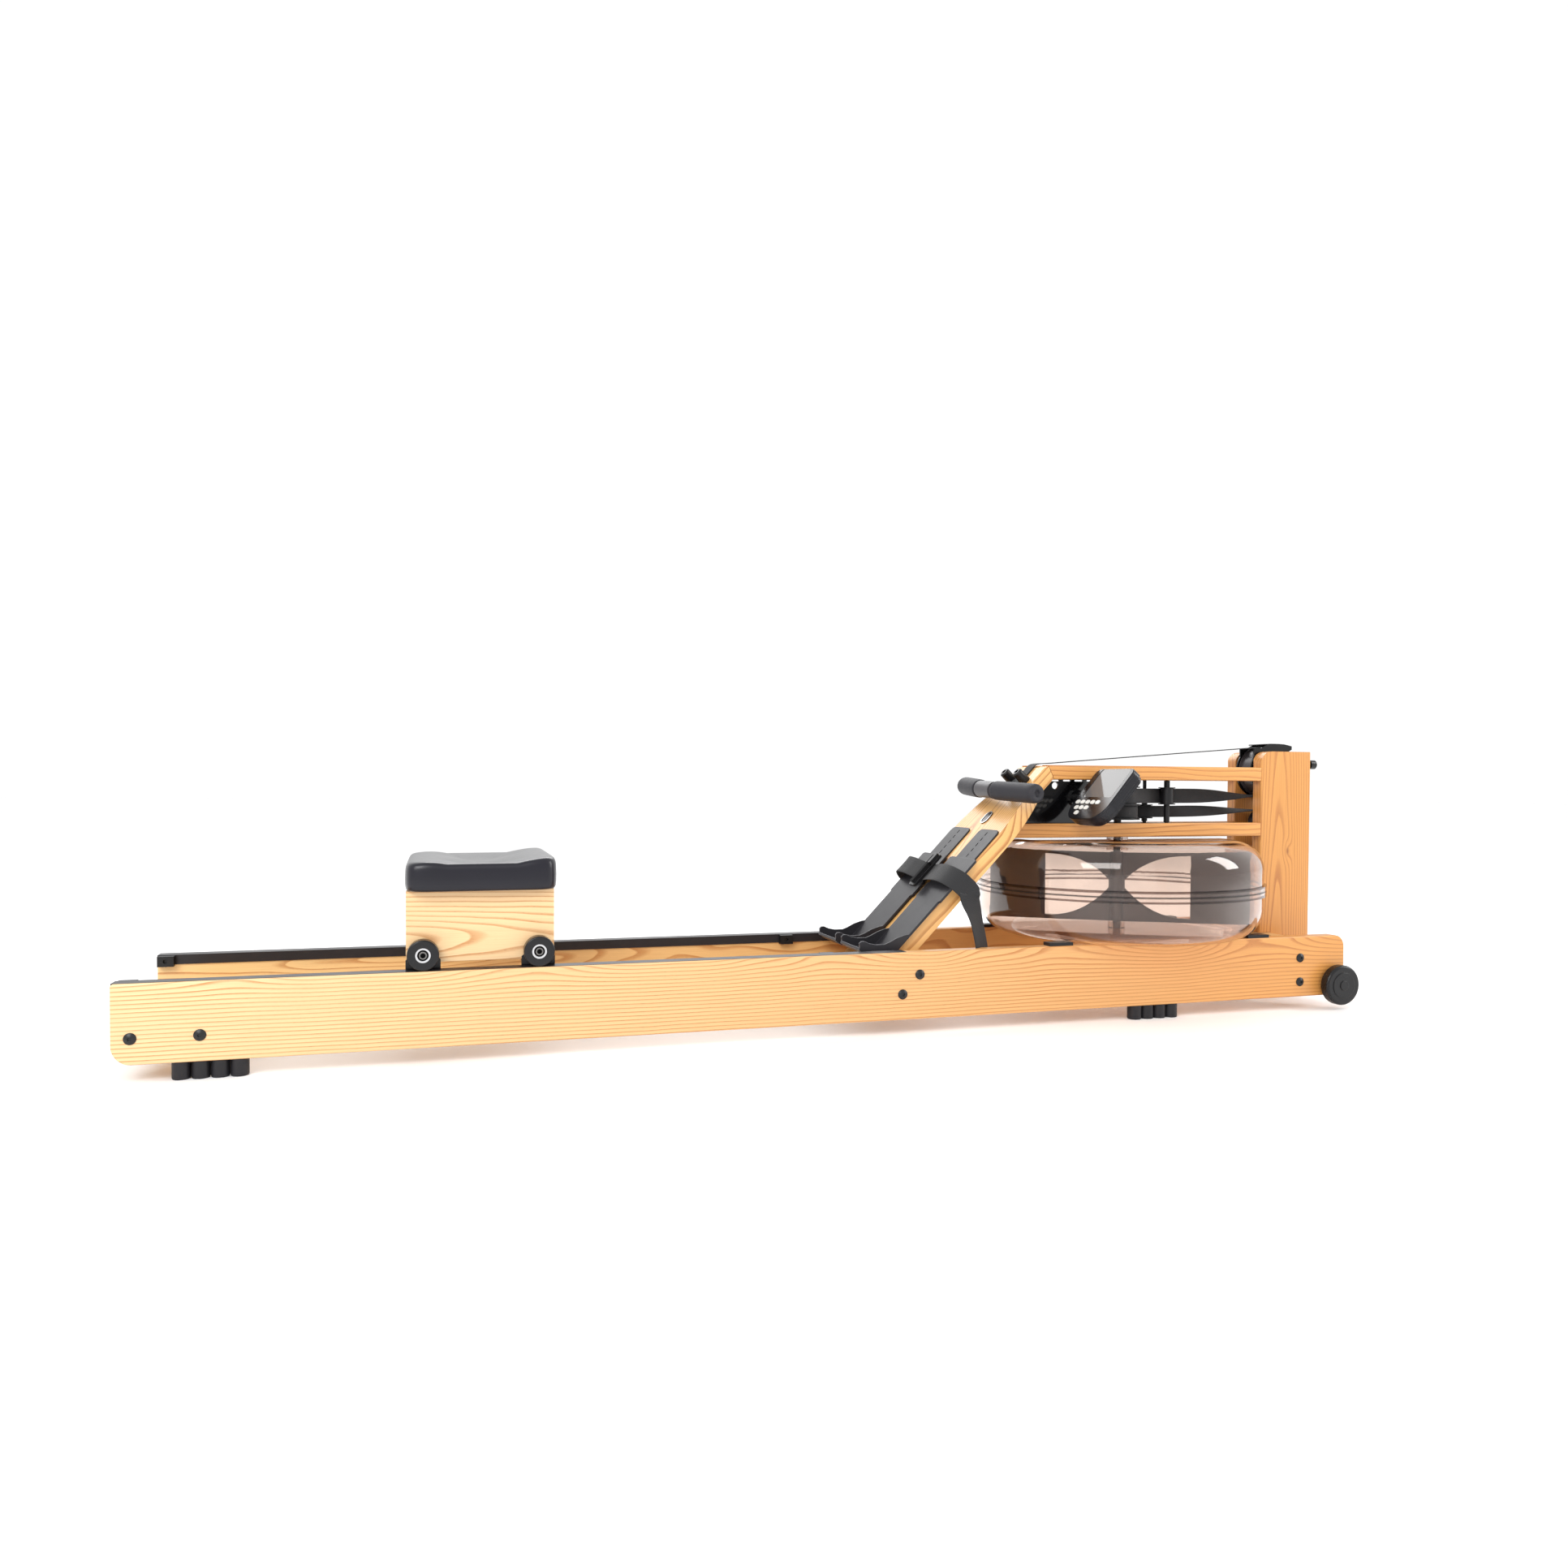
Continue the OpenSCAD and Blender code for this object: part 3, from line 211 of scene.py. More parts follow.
def ash(name, length, width, face, light, dark, depth=0.05, lift=0.0, tilt=0.05, start=0.0, seed=0.0,
        knot=None, end_painted_shade=None, pitch=0.0060, swell=0.04, slow_scale=(2.2, 7.0), crest=None):
    """Flat-sawn ash.

    length, width and face are the board's directions. The pith lies `depth` behind the face and `lift` across the
    width, and drifts by `tilt` along the board from `start`. The rings are `pitch` wide and wander by `swell` at the
    rate slow_scale. knot is a place along and across the board. end_painted_shade is the pale colour at the front
    end, darker and more orange than `light`: painted shade for the dimmer light there. crest is the edge where the
    rings are steep, and how far that reaches.
    """
    t = Tree(name)
    p = t.coord()
    l, w, n = t.dot(p, length), t.dot(p, width), t.dot(p, face)

    def clouds(along, across, shift, detail=2.0):
        """Soft noise; two with another shift are unlike."""
        return t.noise(t.join(t.mul(l, along), t.mul(w, across), t.add(n, seed + shift)), 1.0, detail)

    def streaks(along, across, detail):
        """Fine lines along the board."""
        return t.noise(t.join(t.mul(l, along), t.mul(w, across), t.mul(n, across)), 1.0, detail)

    slow, wave, patch = clouds(*slow_scale, 0), clouds(9.0, 30.0, 5), clouds(5.0, 22.0, 9, 3.0)
    fibre, pore = streaks(14.0, 1100.0, 2.0), streaks(150.0, 2600.0, 1.0)

    # r is the distance from the pith
    drift = t.mul(t.sub(slow, 0.5), swell)
    if crest is not None:
        edge, reach = crest
        swing = t.math("SINE", t.mul_add(slow, 5.0, t.mul(l, 2 * math.pi / WAVE_LENGTH)))
        drift = t.mul_add(swing, WAVE_HEIGHT, drift)
        drift = t.mul(drift, t.math("EXPONENT", t.div(t.sub(w, edge), reach)))
    back = t.add(t.mul_add(t.sub(l, start), tilt, depth), t.add(drift, n))
    ripple = t.mul(t.sub(wave, 0.5), RIPPLE)
    r = t.add(t.distance(back, t.sub(w, lift)), ripple)
    if knot is not None:
        dl = t.mul(t.sub(l, knot[0]), 0.55)
        dw = t.sub(w, knot[1])
        far = t.add(t.mul(dl, dl), t.mul(dw, dw))
        r = t.mul_add(t.math("EXPONENT", t.div(far, -KNOT_REACH)), KNOT_BEND, r)

    # early wood opens dark and porous, then closes to the pale late wood
    ring = t.math("FRACT", t.div(r, pitch))
    early = t.ramp(ring, [(0.0, 0.05), (0.06, 1), (0.20, 0.74), (0.38, 0.10), (1.0, 0.0)])
    amount = t.mul(early, t.mul_add(patch, 1.15, 0.22))
    amount = t.clamped(t.mul(amount, t.mul_add(fibre, 0.9, 0.45)))
    pale, deep = lin(*light), lin(*dark)
    # painted shade: towards the front end the pale and the dark wood both turn darker and more orange, for the
    # dimmer light there
    if end_painted_shade is not None:
        place = t.clamped(t.div(t.sub(l, RAILS[0]), RAILS[1] - RAILS[0]))
        pale = t.mix(place, pale, lin(*end_painted_shade))
        deep = t.mix(place, deep, lin(dark[0] * 0.94, dark[1] * 0.88, dark[2] * 0.84))
    colour = t.mix(amount, pale, deep)
    shade = t.ramp(fibre, [(0.30, (0.90, 0.88, 0.85)), (0.62, 1.02)])
    colour = t.mix(0.8, colour, shade, "MULTIPLY")
    blotch = t.ramp(patch, [(0.3, (0.95, 0.93, 0.90)), (0.7, (1.03, 1.02, 1.0))])
    colour = t.mix(0.7, colour, blotch, "MULTIPLY")
    # pores: short dark dashes, mostly in the early wood
    dash = t.ramp(pore, [(0.62, 0), (0.70, 1)])
    dash = t.mul(dash, t.mul_add(early, 0.55, 0.05))
    colour = t.mix(dash, colour, lin(150, 98, 52))
    if knot is not None:
        heart = t.math("EXPONENT", t.div(far, -HEART_REACH))
        colour = t.mix(t.mul(heart, 0.7), colour, lin(128, 72, 34))
    t.set("Base Color", colour)
    t.set("Roughness", t.mul_add(fibre, 0.16, 0.34))
    t.set("Specular IOR Level", 0.45)
    t.set("Coat Weight", 0.25)
    t.set("Coat Roughness", 0.22)
    t.surface(t.sub(fibre, t.mul(dash, 1.4)), 0.22, 0.00025, 0.0012)
    return t.m


def plastic(name, colour, rough=0.42, grain=900.0, relief=0.12, edge=0.0006, vary=0.10, scuff=0.0, coat=0.0,
            rim=None):
    """Moulded plastic or foam: a fine grain, and a gloss that changes a little from place to place.

    rim is a function that says where a pale highlight is painted on the surface.
    """
    t = Tree(name)
    p = t.coord()
    fine = t.noise(p, grain, 2.0, 0.6)
    broad = t.noise(p, 34.0, 3.0, 0.55)
    base = lin(*colour)
    worn = tuple(min(1.0, c * 1.5 + 0.003) for c in base[:3]) + (1.0,)
    colour = t.mix(t.mul(broad, 0.5 + scuff), base, worn)
    if rim is not None:
        # painted highlight: the edges that rim picks out are painted pale grey
        colour = t.mix(rim(t, p), colour, lin(150, 150, 156))
    t.set("Base Color", colour)
    t.set("Roughness", t.mul_add(broad, vary, rough - vary / 2))
    t.set("Specular IOR Level", 0.36)
    t.set("Coat Weight", coat)
    t.set("Coat Roughness", 0.08)
    t.surface(fine, relief, 0.0003, edge)
    return t.m


def cup_edge_highlight(t, p):
    """Painted highlight on the edge where a heel cup ends, found by how far a rounded normal leans away from the
    true one.
    """
    true = t.node("ShaderNodeNewGeometry").outputs["True Normal"]
    lean = t.sub(1.0, t.dot(t.bevelled(0.0011, 6), true))
    edge = t.ramp(lean, [(0.01, 0), (0.06, 1)])
    along = t.sub(t.dot(p, BOARD_L), board_point(0, 0, 0).dot(UP_BOARD))
    cup = t.ramp(t.mul_add(along, 10.0, 0.5), [(0.30, 1), (0.42, 0)])
    return t.mul(t.mul(edge, cup), 0.75)


def metal(name, colour):
    """Turned or drawn metal with fine brush lines round it."""
    t = Tree(name)
    x, y, z = t.xyz(t.coord())
    line = t.noise(t.join(t.mul(x, 4000), t.mul(y, 40), t.mul(z, 4000)), 1.0, 2.0)
    base = lin(*colour)
    t.set("Base Color", t.mix(line, tuple(c * 0.86 for c in base[:3]) + (1,), base))
    t.set("Roughness", t.mul_add(line, 0.16, 0.20))
    t.set("Metallic", 1.0)
    t.surface(line, 0.06, 0.0001, 0.0004)
    return t.m


def turned_axle(name):
    """Bearing face of the seat wheels: bright outer race, dark groove, grey inner race and a dark socket."""
    bearing = 0.012
    t = Tree(name)
    p = t.coord()
    x, _, z = t.xyz(p)
    near = t.math("MINIMUM", *[t.math("ABSOLUTE", t.sub(x, axle_x)) for axle_x in AXLES_X])
    zone = t.div(t.distance(near, t.sub(z, AXLE_Z)), bearing)
    bright, grey, dark = lin(206, 206, 208), lin(120, 118, 116), lin(18, 18, 18)
    face = t.ramp(zone, [(0.0, dark), (0.30, dark), (0.34, grey), (0.46, grey),
                         (0.49, dark), (0.66, dark), (0.70, bright), (1.0, bright)])
    line = t.noise(p, 900.0, 2.0)
    t.set("Base Color", t.mix(0.12, face, t.ramp(line, [(0.3, 0.5), (0.7, 1)]), "MULTIPLY"))
    t.set("Roughness", t.mul_add(line, 0.14, 0.24))
    t.set("Metallic", 1.0)
    t.surface(line, 0.05, 0.0001, 0.0004)
    return t.m


def badge_metal(name):
    """Blank satin badge: a bright rim round a dark recess."""
    recess = 0.0018    # its height above the board's face
    t = Tree(name)
    p = t.coord()
    above = t.sub(t.dot(p, BOARD_N), board_point(0, 0, 0).dot(Vector(BOARD_N)))
    rim = t.math("GREATER_THAN", above, recess)
    line = t.noise(p, 2600.0, 2.0)
    t.set("Base Color", t.mix(rim, lin(62, 58, 60), lin(214, 214, 216)))
    t.set("Roughness", t.mul_add(line, 0.12, 0.20))
    t.set("Metallic", 0.9)
    t.surface(line, 0.05, 0.0001, 0.0005)
    return t.m


def webbing(name, colour, rib=0.0021):
    """Woven strap: ribs across it, and yarn crossing them, laid out along the strap's own UV map in metres."""
    yarn = rib * 0.9
    t = Tree(name)
    uv = t.node("ShaderNodeUVMap")
    uv.uv_map = "weave"
    along, across, _ = t.xyz(uv.outputs["UV"])
    ribs = t.math("SINE", t.mul(along, 2 * math.pi / rib))
    shifted = t.mul_add(t.math("ROUND", t.div(across, yarn)), math.pi, t.mul(along, math.pi / rib))
    crossing = t.math("ABSOLUTE", t.math("SINE", shifted))
    rows = t.math("ABSOLUTE", t.math("SINE", t.mul(across, math.pi / yarn)))
    weave = t.mul_add(crossing, 0.6, t.mul_add(rows, 0.3, t.mul(ribs, 0.1)))
    fuzz = t.noise(t.coord(), 1800.0, 2.0)
    base = lin(*colour)
    high = tuple(c * 2.4 + 0.007 for c in base[:3]) + (1,)
    t.set("Base Color", t.mix(t.mul(weave, t.mul_add(fuzz, 0.6, 0.4)), base, high))
    t.set("Roughness", t.mul_add(fuzz, 0.15, 0.67))
    t.set("Sheen Weight", 0.12)
    t.set("Sheen Roughness", 0.5)
    t.bump(weave, 0.6, 0.0005)
    return t.m


def seat_vinyl(name):
    """Soft black upholstery: pebbled grain, small creases and a satin gloss."""
    t = Tree(name)
    p = t.coord()
    pebble = t.node("ShaderNodeTexVoronoi", Vector=p, Scale=620.0)
    pebble.feature = "SMOOTH_F1"
    broad = t.noise(p, 16.0, 3.0)
    crease = t.noise(p, 120.0, 4.0, 0.6)
    t.set("Base Color", t.mix(broad, lin(9, 8, 17), lin(17, 15, 29)))
    t.set("Roughness", t.mul_add(crease, 0.10, 0.25))
    t.set("Specular IOR Level", 0.32)
    t.set("Sheen Weight", 0.04)
    t.set("Coat Weight", 0.15)
    t.set("Coat Roughness", 0.3)
    t.bump(t.mul_add(crease, 0.35, pebble.outputs["Distance"]), 0.05, 0.0005)
    return t.m


def tank_plastic(name):
    """Smoke-tinted clear plastic that lets lamps through, so that what is inside is lit."""
    t = Tree(name)
    p = t.coord()
    x, y, z = t.xyz(p)
    # the rims of the two flanges gather light, which shows as two thin darker lines
    level = t.mul(t.math("ABSOLUTE", t.sub(z, TANK_SEAM)), 80.0)
    rim = t.math("GREATER_THAN", t.distance(t.sub(x, TANK_X), y), TANK_FLANGE)
    lines = t.ramp(level, [(0.0, 0.8), (0.12, 0.8), (0.16, 0.12), (0.50, 0.10),
                           (0.56, 1.0), (0.84, 1.0), (0.90, 0.0)])
    tint = t.mix(t.noise(p, 9.0, 2.0), lin(226, 210, 200), lin(236, 222, 213))
    t.set("Base Color", t.mix(t.mul(lines, rim), tint, lin(72, 50, 42)))
    t.set("Transmission Weight", 1.0)
    t.set("IOR", 1.46)
    t.set("Roughness", 0.015)
    clear = t.node("ShaderNodeBsdfTransparent", Color=lin(240, 232, 226))
    mixer = t.node("ShaderNodeMixShader")
    t.feed(mixer.inputs[0], t.node("ShaderNodeLightPath").outputs["Is Shadow Ray"])
    t.feed(mixer.inputs[1], t.p.outputs[0])
    t.feed(mixer.inputs[2], clear.outputs[0])
    t.feed(t.out.inputs["Surface"], mixer.outputs[0])
    return t.m


def display(name):
    """Blank grey display behind a clear window, painted lighter up along a slope as a painted reflection."""
    slope = math.radians(50)
    t = Tree(name)
    p = t.coord()
    # painted reflection: the grey is painted lighter up along this slope
    rise = t.dot(p, (math.cos(slope), 0, math.sin(slope)))
    soft = t.noise(p, 25.0, 1.0)
    shade = t.clamped(t.mul_add(rise, 2.2, t.mul(soft, 0.15)))
    t.set("Base Color", t.mix(shade, lin(78, 78, 77), lin(104, 103, 103)))
    t.set("Roughness", t.mul_add(soft, 0.04, 0.06))
    t.set("Specular IOR Level", 0.20)
    return t.m


# PALE_END_PAINTED_SHADE is a darker, more orange copy of the pale ash for the rails' front end: painted shade for
# the dimmer light there
PALE, PALE_END_PAINTED_SHADE, TAN = (234, 201, 153), (212, 149, 76), (186, 122, 60)
# WARM_PAINTED_SHADE (the posts) and WARM_TAN_PAINTED_SHADE (posts, arms and foot board) are darker, more orange
# copies of the ash's colours: painted shade for the dimmer light at the front of the machine
WARM_PAINTED_SHADE, WARM_TAN_PAINTED_SHADE = (210, 148, 78), (170, 104, 48)
NEAR = (0, -1, 0)    # the near boards face this way

# the material of every node, wood first
finish = {
    "rail_right": ash("ash_rail_right", LX, LZ, NEAR, PALE, TAN, depth=-0.140, lift=0.146, tilt=0.020, start=-0.75,
                      seed=1.3, swell=0.05, slow_scale=(2.4, 1.5), crest=(0.140, 0.045), end_painted_shade=PALE_END_PAINTED_SHADE),
    "rail_left": ash("ash_rail_left", LX, LZ, NEAR, (236, 200, 142), TAN, depth=0.150, lift=0.122, tilt=0.010,
                     start=-1.0, seed=4.1, swell=0.08, end_painted_shade=PALE_END_PAINTED_SHADE),
    "post_right": ash("ash_post_right", LZ, LX, NEAR, WARM_PAINTED_SHADE, WARM_TAN_PAINTED_SHADE, depth=-0.020, lift=0.955, tilt=0.02, seed=2.2,
                      pitch=0.0046, swell=0.022, knot=(0.292, 0.978)),
    "post_left": ash("ash_post_left", LZ, LX, LY, WARM_PAINTED_SHADE, WARM_TAN_PAINTED_SHADE, depth=-0.02, lift=0.975, tilt=0.02, seed=6.2,
                     pitch=0.0046),
    "arms": ash("ash_arms", LX, LZ, NEAR, (220, 158, 88), WARM_TAN_PAINTED_SHADE, depth=0.0, lift=0.39, tilt=0.02, start=0.4,
                seed=7.7),
    "foot_board": ash("ash_foot_board", BOARD_L, LY, BOARD_N, (235, 184, 116), WARM_TAN_PAINTED_SHADE, lift=0.02, tilt=0.04,
                      start=0.3, seed=3.4),
    "seat_sides": ash("ash_seat_sides", LX, LZ, NEAR, (236, 200, 152), TAN, depth=-0.088, lift=0.180, tilt=0.04,
                      start=-0.60, seed=8.9),
    "seat_base": ash("ash_seat_base", LX, LY, LZ, (240, 205, 150), TAN, depth=-0.2, lift=0.02, tilt=0.07, seed=9.4),
}
cross = ash("ash_cross_pieces", LY, LX, LZ, (232, 190, 128), TAN, depth=0.03, lift=0.1, tilt=0.12, seed=5.5)
for name in ("rear_crossbar", "front_crossbar", "foot_crossbar"):
    finish[name] = cross

black = plastic("black_moulded", (13, 12, 14), 0.36)
satin = plastic("satin_black", (10, 10, 12), 0.26, relief=0.06)
track = plastic("track_black", (32, 30, 33), 0.34, grain=500.0)
rest = plastic("rest_moulding", (33, 32, 36), 0.42, grain=1400.0, relief=0.2, edge=0.001, scuff=0.2, rim=cup_edge_highlight)
rubber = plastic("foot_rubber", (24, 23, 27), 0.50, grain=700.0, relief=0.2, vary=0.16)
wheel = plastic("wheel_black", (13, 13, 15), 0.28, edge=0.0012)
foam = plastic("grip_foam", (38, 37, 42), 0.60, grain=1500.0, relief=0.55, vary=0.12)
bar = plastic("handle_middle", (70, 68, 70), 0.42, grain=300.0, relief=0.1)
plate = plastic("gloss_plate", (6, 6, 8), 0.12, relief=0.02, edge=0.0005, coat=0.6)
case = plastic("monitor_case", (20, 20, 25), 0.26, grain=1200.0, relief=0.08, edge=0.0016)
key = plastic("key_white", (226, 226, 220), 0.35, relief=0.05, edge=0.0012)
pulley = plastic("pulley_grey", (58, 54, 56), 0.32)
steel = metal("zinc_steel", (205, 205, 208))
bolt = plastic("black_oxide", (24, 24, 26), 0.34, grain=1500.0, relief=0.1)
badge = badge_metal("badge_silver")
axle = turned_axle("bearing_steel")
blade = plastic("paddle_dark", (66, 58, 58), 0.34, grain=1600.0, relief=0.03)
strap = webbing("black_webbing", (10, 10, 13))
band = webbing("drive_webbing", (8, 8, 11), 0.0016)
vinyl = seat_vinyl("seat_vinyl")
clear = tank_plastic("smoked_clear")
glass = display("display_window")

LOOK = {
    black: ["track_stops", "handle_pegs", "drum_frame", "strap_drum", "tank_seal_and_pads",
            "guide_blocks", "strap_buckle", "drive_roller", "recoil_roller"],
    satin: ["pulley_guard", "guard_screw"],
    pulley: ["top_pulley", "recoil_pulley"],
    track: ["tracks"],
    rest: ["foot_plates", "heel_rest_right", "heel_rest_left"],
    rubber: ["feet"],
    wheel: ["castor_right", "castor_left", "front_wheels", "rear_wheels"],
    bar: ["handle_bar"],
    plate: ["mount_plate"],
    case: ["monitor_back", "monitor_front"],
    key: ["button_%d" % i for i in range(1, 10)],
    steel: ["frame_axles"],
    axle: ["wheel_axles"],
    bolt: ["rail_bolts"],
    badge: ["badge"],
    blade: ["paddle"],
    clear: ["tank_upper", "tank_lower"],
    glass: ["monitor_screen"],
}
for material, names in LOOK.items():
    for name in names:
        finish[name] = material
for name, material in finish.items():
    nodes[name].data.materials.clear()
    nodes[name].data.materials.append(material)


# ---------------------------------------------------------------- soft pieces


def skin(rows, count, flip=False):
    """The quads between `rows` closed rings of `count` vertices each."""
    faces = []
    for j in range(rows - 1):
        for i in range(count):
            a, b = j * count + i, j * count + (i + 1) % count
            quad = (a, b, b + count, a + count)
            faces.append(quad[::-1] if flip else quad)
    return faces


def caps(rows, count):
    """The two end faces of such a skin."""
    return [tuple(range(count - 1, -1, -1)), tuple((rows - 1) * count + i for i in range(count))]


def build(name, verts, faces, material, body=None, uvs=None):
    """A smooth mesh piece in the row frame. uvs holds one (u, v) per vertex, in metres."""
    mesh = bpy.data.meshes.new(name)
    mesh.from_pydata([tuple(v) for v in verts], [], faces)
    mesh.update()
    if uvs is not None:
        layer = mesh.uv_layers.new(name="weave")
        for loop in mesh.loops:
            layer.data[loop.index].uv = uvs[loop.vertex_index]
    for p in mesh.polygons:
        p.use_smooth = True
    mesh.materials.append(material)
    o = bpy.data.objects.new(name, mesh)
    bpy.context.scene.collection.objects.link(o)
    if body:
        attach(o, body)
    return o


def smooth_path(points, step):
    """Catmull-Rom curve through the points, sampled about every `step` metres."""
    pts = [Vector(p) for p in points]
    pts = [pts[0] * 2 - pts[1]] + pts + [pts[-1] * 2 - pts[-2]]
    out = []
    for i in range(1, len(pts) - 2):
        a, b, c, d = pts[i - 1:i + 3]
        n = max(1, int((c - b).length / step))
        for k in range(n):
            t = k / n
            square, cube = 2 * a - 5 * b + 4 * c - d, 3 * b - a - 3 * c + d
            out.append(0.5 * (2 * b + (c - a) * t + square * t * t + cube * t ** 3))
    out.append(pts[-2])
    return out


# half the section of a strap: places across it, and its height there, each as a share of half its size
LANES = [-1, -0.985, -0.93, -0.6, -0.2, 0.2, 0.6, 0.93, 0.985, 1]
HIGH = [0.15, 0.75, 1, 0.9, 0.95, 0.95, 0.9, 1, 0.75, 0.15]


def ribbon(name, path, across, width, thick, material, body=None, curl=0.0):
    """A flat strap swept along path. across is the width direction at each point, or one for all of them."""
    section = [(lane * width / 2, high * thick / 2, curl * lane ** 2) for lane, high in zip(LANES, HIGH)]
    section += [(aside, -high, bow) for aside, high, bow in reversed(section)]
    verts, uvs, run = [], [], 0.0
    for i, p in enumerate(path):
        along = (path[min(i + 1, len(path) - 1)] - path[max(i - 1, 0)]).normalized()
        side = Vector(across[i] if isinstance(across, list) else across)
        side = (side - along * side.dot(along)).normalized()
        out = along.cross(side)
        if i:
            run += (p - path[i - 1]).length
        for aside, high, bow in section:
            verts.append(p + side * aside + out * (high + bow))
            uvs.append((run, aside))
    rows, count = len(path), len(section)
    return build(name, verts, skin(rows, count) + caps(rows, count), material, body, uvs)


# seat pad: a moulded foam cushion with a dip across it
lo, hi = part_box("seat_pad")
mid, half_x, half_y = (lo + hi) / 2, (hi.x - lo.x) / 2, (hi.y - lo.y) / 2


def wave(share):
    """Smooth rise from 0 to 1, which then stays 1."""
    return (1 - math.cos(math.pi * min(share, 1))) / 2


def pad_top(x, y):
    """Height of the pad's top above its base, worked out in millimetres.

    It is lowest behind the middle, and has a hollow for each thigh.
    """
    x, y, valley = x * 1000, abs(y) * 1000, 35.1
    if x < -3:
        top = valley + 9.4 * wave((-3 - x) / 75) - 1.5 * max(0.0, (-x - 84) / 28)
    else:
        top = valley + 15 * wave((x + 3) / 112)
    hollow = 1.6 * math.exp(-(((y - 62) / 34) ** 2)) * math.exp(-(((x + 4) / 62) ** 2))
    return (top - hollow) / 1000


ROUND = 176          # points round the pad
SQUARE = 2 / 11      # the smaller, the squarer its corners
TOP_INSET, TOP_RINGS = 0.014, 14
# the side of the pad, from the base up: how far in, and which share of the height
PAD_SIDE = ((0.012, 0.0), (0.006, 0.0), (0.0024, 0.03), (0.0007, 0.10), (0.0, 0.25), (0.0, 0.45), (0.0003, 0.64),
            (0.0008, 0.78), (0.0018, 0.87), (0.0034, 0.935), (0.0056, 0.972), (0.0086, 0.992), (0.0125, 1.0))


def outline(inset):
    """Rounded rectangle with slightly bowed sides, as points round the pad."""
    out = []
    for i in range(ROUND):
        a = 2 * math.pi * (i + 0.5) / ROUND
        c, s = math.cos(a), math.sin(a)
        x, y = math.copysign(abs(c) ** SQUARE, c), math.copysign(abs(s) ** SQUARE, s)
        out.append(((half_x - inset) * x, (half_y - inset) * y))
    return out


rings = [[(x, y, share * pad_top(x, y)) for x, y in outline(inset)] for inset, share in PAD_SIDE]
for k in range(1, TOP_RINGS + 1):
    f = 1 - k / TOP_RINGS * 0.985
    rings.append([(x * f, y * f, pad_top(x * f, y * f)) for x, y in outline(TOP_INSET)])
verts = [Vector((mid.x + x, y, lo.z + z)) for ring in rings for x, y, z in ring]
faces = skin(len(rings), ROUND) + caps(len(rings), ROUND)
pad = build("seat_cushion", verts, faces, vinyl, "carriage")
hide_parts("seat_pad")

# handle grips: foam sleeves with rounded ends and a dimple in each
at_handle = Matrix.Translation((REAR + 1.4, 0, 0.41)) @ Matrix.Rotation(math.radians(2.7), 4, "X")
SWEEP = math.radians(11)    # how far each grip points back
GRIP_START, GRIP_ROUND = 0.024, 64
# distance from the grip's start, and radius
GRIP_PROFILE = [(0.0070, 0.0125), (0.0070, 0.0158), (0.0078, 0.0167), (0.0100, 0.0171), (0.030, 0.0174),
                (0.060, 0.0175), (0.095, 0.0175), (0.110, 0.0174), (0.1155, 0.0168), (0.1190, 0.0152),
                (0.1208, 0.0125), (0.1210, 0.0095), (0.1204, 0.0070), (0.1180, 0.0052), (0.1165, 0.0046),
                (0.1160, 0.0020), (0.1160, 0.0002)]
fine = []
for (y0, r0), (y1, r1) in zip(GRIP_PROFILE, GRIP_PROFILE[1:]):
    cuts = 6 if y1 - y0 > 0.015 else 2
    fine += [(y0 + (y1 - y0) * c / cuts, r0 + (r1 - r0) * c / cuts) for c in range(cuts)]
fine.append(GRIP_PROFILE[-1])
for name, side in (("grip_right", -1), ("grip_left", 1)):
    place = at_handle @ Matrix.Translation((0, side * GRIP_START, 0)) @ Matrix.Rotation(-side * SWEEP, 4, "Z")
    turns = [2 * math.pi * i / GRIP_ROUND for i in range(GRIP_ROUND)]
    verts = [place @ Vector((r * math.cos(a), side * y, r * math.sin(a))) for y, r in fine for a in turns]
    grip = build(name, verts, skin(len(fine), GRIP_ROUND, flip=side < 0), foam, "handle")
    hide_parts("handle_grips")

# foot strap: one length of webbing over both shoes and round the board, its tail hanging on the near side
STRAP_D = 0.158    # how far up the board it crosses
route = [(0.060, -0.0290), (0.088, -0.0290), (0.101, -0.0285), (0.110, -0.0230), (0.1145, -0.0120), (0.1155, 0.002),
         (0.1140, 0.012), (0.108, 0.0215), (0.098, 0.0275), (0.084, 0.0300), (0.066, 0.0290), (0.046, 0.0250),
         (0.028, 0.0195), (0.010, 0.0168), (-0.012, 0.0178), (-0.032, 0.0205), (-0.052, 0.0225), (-0.070, 0.0225),
         (-0.087, 0.0195), (-0.101, 0.0135), (-0.1115, 0.0060), (-0.1160, -0.0020), (-0.1168, -0.010)]
tail = [(1.3065, -0.1195, 0.2215), (1.3140, -0.1225, 0.196), (1.3205, -0.1245, 0.168), (1.3255, -0.1255, 0.142),
        (1.3285, -0.1260, 0.127)]
points = smooth_path([board_point(STRAP_D, y, e) for y, e in route], 0.004)
points = smooth_path([*points[::6], board_point(STRAP_D, -0.1168, -0.010), board_point(STRAP_D, -0.1175, -0.020),
                      *[(REAR + x, y, z) for x, y, z in tail]], 0.004)
TAIL_TOP = board_point(STRAP_D, 0, -0.004).z
TAIL_TURN = 0.07                                          # the tail turns over this height
TAIL_SIDE = Vector((0.80, 0.54, 0.20)).normalized()       # and its width then lies this way
sides = []
for i, p in enumerate(points):
    if p.y < -0.1145 and p.z < TAIL_TOP:
        share = min(1.0, (TAIL_TOP - p.z) / TAIL_TURN)
        share = share * share * (3 - 2 * share)
        sides.append((UP_BOARD * (1 - share) + TAIL_SIDE * share).normalized())
    else:
        ripple = 0.05 * math.sin(i * 0.23)
        sides.append((UP_BOARD + Vector((0, ripple, 0))).normalized())
